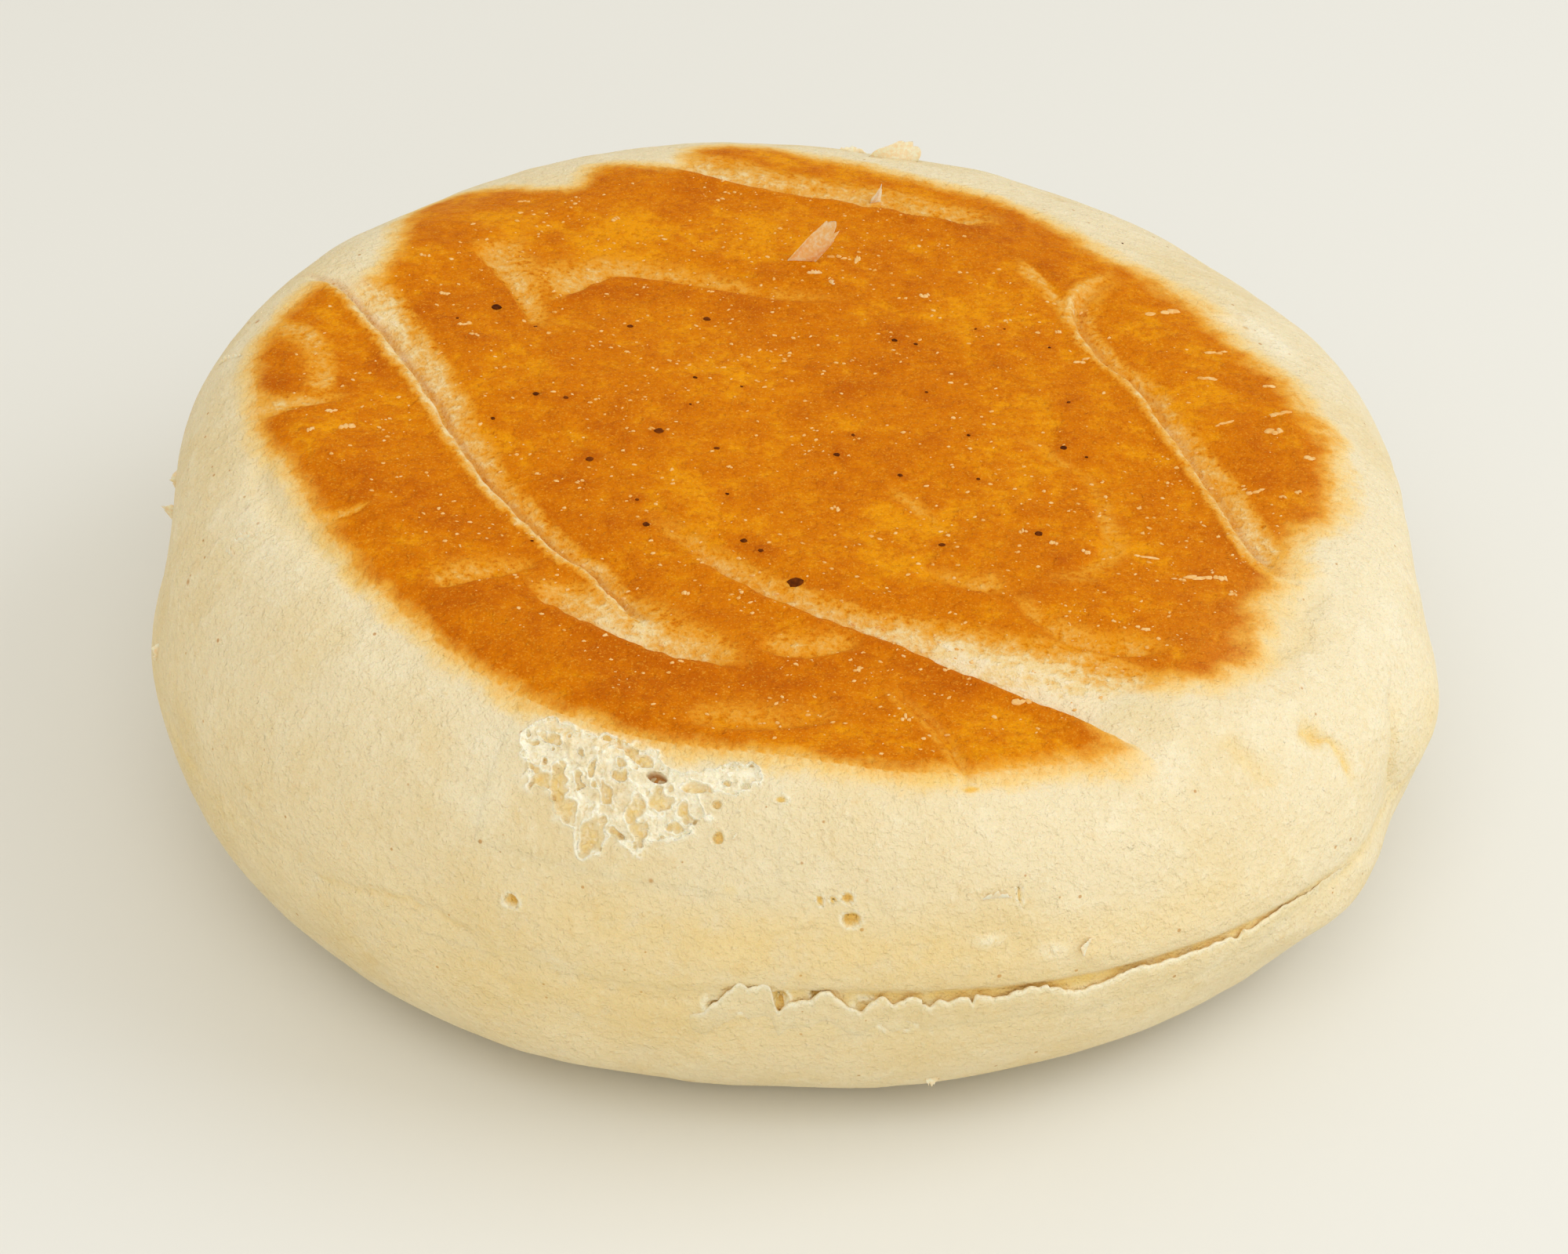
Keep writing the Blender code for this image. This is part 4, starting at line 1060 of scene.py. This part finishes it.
skinFlakes = {  # direction, level, turn, length, height, lean, raggedness, slant
    "topFlake": (90.5, 125, 5, 2.1, 3.2, 0.1, 0.12, 0.72),
    "topScrap": (87, 129, 10, 1.4, 0.25, 1.2, 0.3, 0),
    "topScrapRight": (82, 131, -60, 0.8, 0.25, 1.2, 0.3, 0),
    "rimFlake": (78.5, 87, 20, 0.9, 1.6, 0.1, 0.2, 0.25),
    "backFlake": (79, 60.5, 0, 4.2, 1.6, 0, 0.13, 0.6),
    "backScrap": (84, 57, 0, 2.4, 0.5, 0, 0.3, 0),
    "seamFlake": (-68.4, 11.5, 60, 1.3, 0.6, 0.9, 0.2, 0.2),
    "leftFlake": (-180.5, 12, 90, 1.3, 0.9, 0.2, 0.2, 0.5),
    "leftFlakeUpper": (-181.5, 20, 90, 1.6, 0.5, 0.2, 0.4, -0.2),
    "leftFlakeLower": (-160.5, 10.5, 80, 1.8, 0.45, 0.2, 0.4, 0),
    "leftRimFlake": (176.5, 61, 60, 3, 0.35, 0.3, 0.5, 0),
    "sideFlap": (-75.2, 29.5, -5, 2.2, 0.3, 1.5, 0.4, 0),
    "scuffUpper": (-154.5, 57, 60, 1.8, 0.35, 1.5, 0.4, 0.3),
    "scuffLower": (-154.5, 52, 10, 1.3, 0.3, 1.5, 0.4, 0.2),
    "patchDot": (-95.8, 46.5, 80, 0.7, 0.3, 0.8, 0.3, 0),
    "baseCrumb": (-79.5, -37, 0, 0.9, 0.6, -0.4, 0.3, 0),
}


flakeShape = {  # places along and round a leaf, half its thickness, its foot's depth, its bend
    "columns": 29, "loop": 17, "thickness": 0.09, "sunk": 0.12, "bend": 0.22,
}


def makeSkinFlakes(material):
    # Each flake is a thin closed leaf: its foot on the skin, its ragged edge standing out.
    # Those on the top face are browner.
    rows = np.array(list(skinFlakes.values()))
    direction, level = rows[:, :2].T
    along = np.linspace(0, 1, flakeShape["columns"])
    loop = np.linspace(0, 2 * np.pi, flakeShape["loop"])[:-1]
    up, thick = 0.5 - 0.5 * np.cos(loop), flakeShape["thickness"] * np.sin(loop)
    size = along.size * loop.size
    quads = gridFaces(along.size, loop.size, wrap=True)
    allPoints, faces = [], []
    frames = zip(rows[:, 2:], *surfaceFrame(direction, level))
    for k, ((turn, length, tall, lean, rough, slant), middle, normal, east, north) in enumerate(
            frames):
        foot = east * np.cos(np.radians(turn)) + north * np.sin(np.radians(turn))
        side = np.cross(normal, foot)
        random = np.random.default_rng(100 + k)
        ragged = np.interp(along, np.linspace(0, 1, 15), random.uniform(-1, 1, 15))
        crest = np.sin(np.pi * along) ** 0.45 * (1 + rough * ragged)
        bend = flakeShape["bend"] * np.sin(along * 6 + k)[:, None] * up * tall
        height = tall * crest[:, None] * up - flakeShape["sunk"]
        across = thick + bend + lean * height
        run = ((along - 0.5) * length)[:, None] + slant * height
        points = (middle + foot * run[..., None] + normal * height[..., None]
                  + side * across[..., None])
        first = k * size
        faces += [tuple(index + first for index in face) for face in quads]
        faces.append(tuple(range(first, first + loop.size)))
        faces.append(tuple(range(first + size - 1, first + size - 1 - loop.size, -1)))
        allPoints.append(points.reshape(-1, 3))
    shade = np.repeat(np.where(level > 100, 0.0, 1.0), size)
    placeMesh("skinFlakes", np.vstack(allPoints), faces, {"shade": shade}, material)


# Lights, floor and camera

studio = {
    "floorColour": paint(230, 229, 222),
    "worldStrength": 0.77, "worldColour": (1.0, 0.962, 0.885, 1.0),
    "lights": {  # place, size, power, colour
        "softbox": ((0.50, -0.02, 0.42), 0.40, 1.25, (0.92, 1.0, 1.15)),
        "frontFill": ((-0.05, -0.46, 0.62), 0.60, 1.28, (0.99, 1.0, 1.0)),
        "lowFill": ((0.22, -0.55, 0.12), 0.40, 0.30, (0.99, 1.0, 0.98)),
    },
    "cameraPlace": (-0.95, -224.8, 172.4), "cameraTilt": 54.0, "lens": 82.8,
}


def makeStudio():  # a pale room, a flat floor, three soft lamps aimed at the muffin, the camera
    scene = bpy.context.scene
    scene.view_settings.view_transform = "Standard"
    scene.world = bpy.data.worlds.new("paleRoom")
    scene.world.use_nodes = True
    background = scene.world.node_tree.nodes["Background"]
    background.inputs["Color"].default_value = studio["worldColour"]
    background.inputs["Strength"].default_value = studio["worldStrength"]

    floorMesh = bpy.data.meshes.new("floor")
    floorMesh.from_pydata([(-3, -3, 0), (3, -3, 0), (3, 3, 0), (-3, 3, 0)], [], [(0, 1, 2, 3)])
    paper = Shader("palePaper")
    paper.surface.inputs["Base Color"].default_value = studio["floorColour"]
    paper.surface.inputs["Roughness"].default_value = 0.6
    floorMesh.materials.append(paper.material)
    addObject("floor", floorMesh)

    for name, (place, size, power, colour) in studio["lights"].items():
        light = bpy.data.lights.new(name, "AREA")
        light.size, light.energy, light.color = size, power, colour
        lamp = addObject(name, light)
        lamp.location = place
        aim = Vector((0, 0, 0.015)) - lamp.location
        lamp.rotation_euler = aim.to_track_quat("-Z", "Y").to_euler()

    camera = addObject("camera", bpy.data.cameras.new("camera"))
    camera.data.lens = studio["lens"]
    camera.location = Vector(studio["cameraPlace"]) * millimetre
    camera.rotation_euler = (np.radians(studio["cameraTilt"]), 0, 0)
    scene.camera = camera


skin = skinMaterial()
for sheet in crustSheets:
    makeCrustSheet(sheet, skin)
makeTornCrumb(skin)
makeSeamLip(skin)
makeCharSpecks(scrapMaterial("charredDough", paint(58, 24, 4), paint(120, 56, 8), 0.0))
makeFlour(scrapMaterial("flour", paint(226, 160, 74), paint(242, 202, 138), 0.1))
makeSkinFlakes(scrapMaterial("thinDough", paint(234, 176, 104), paint(234, 226, 196), 0.2))
makeStudio()
print("studio ready")
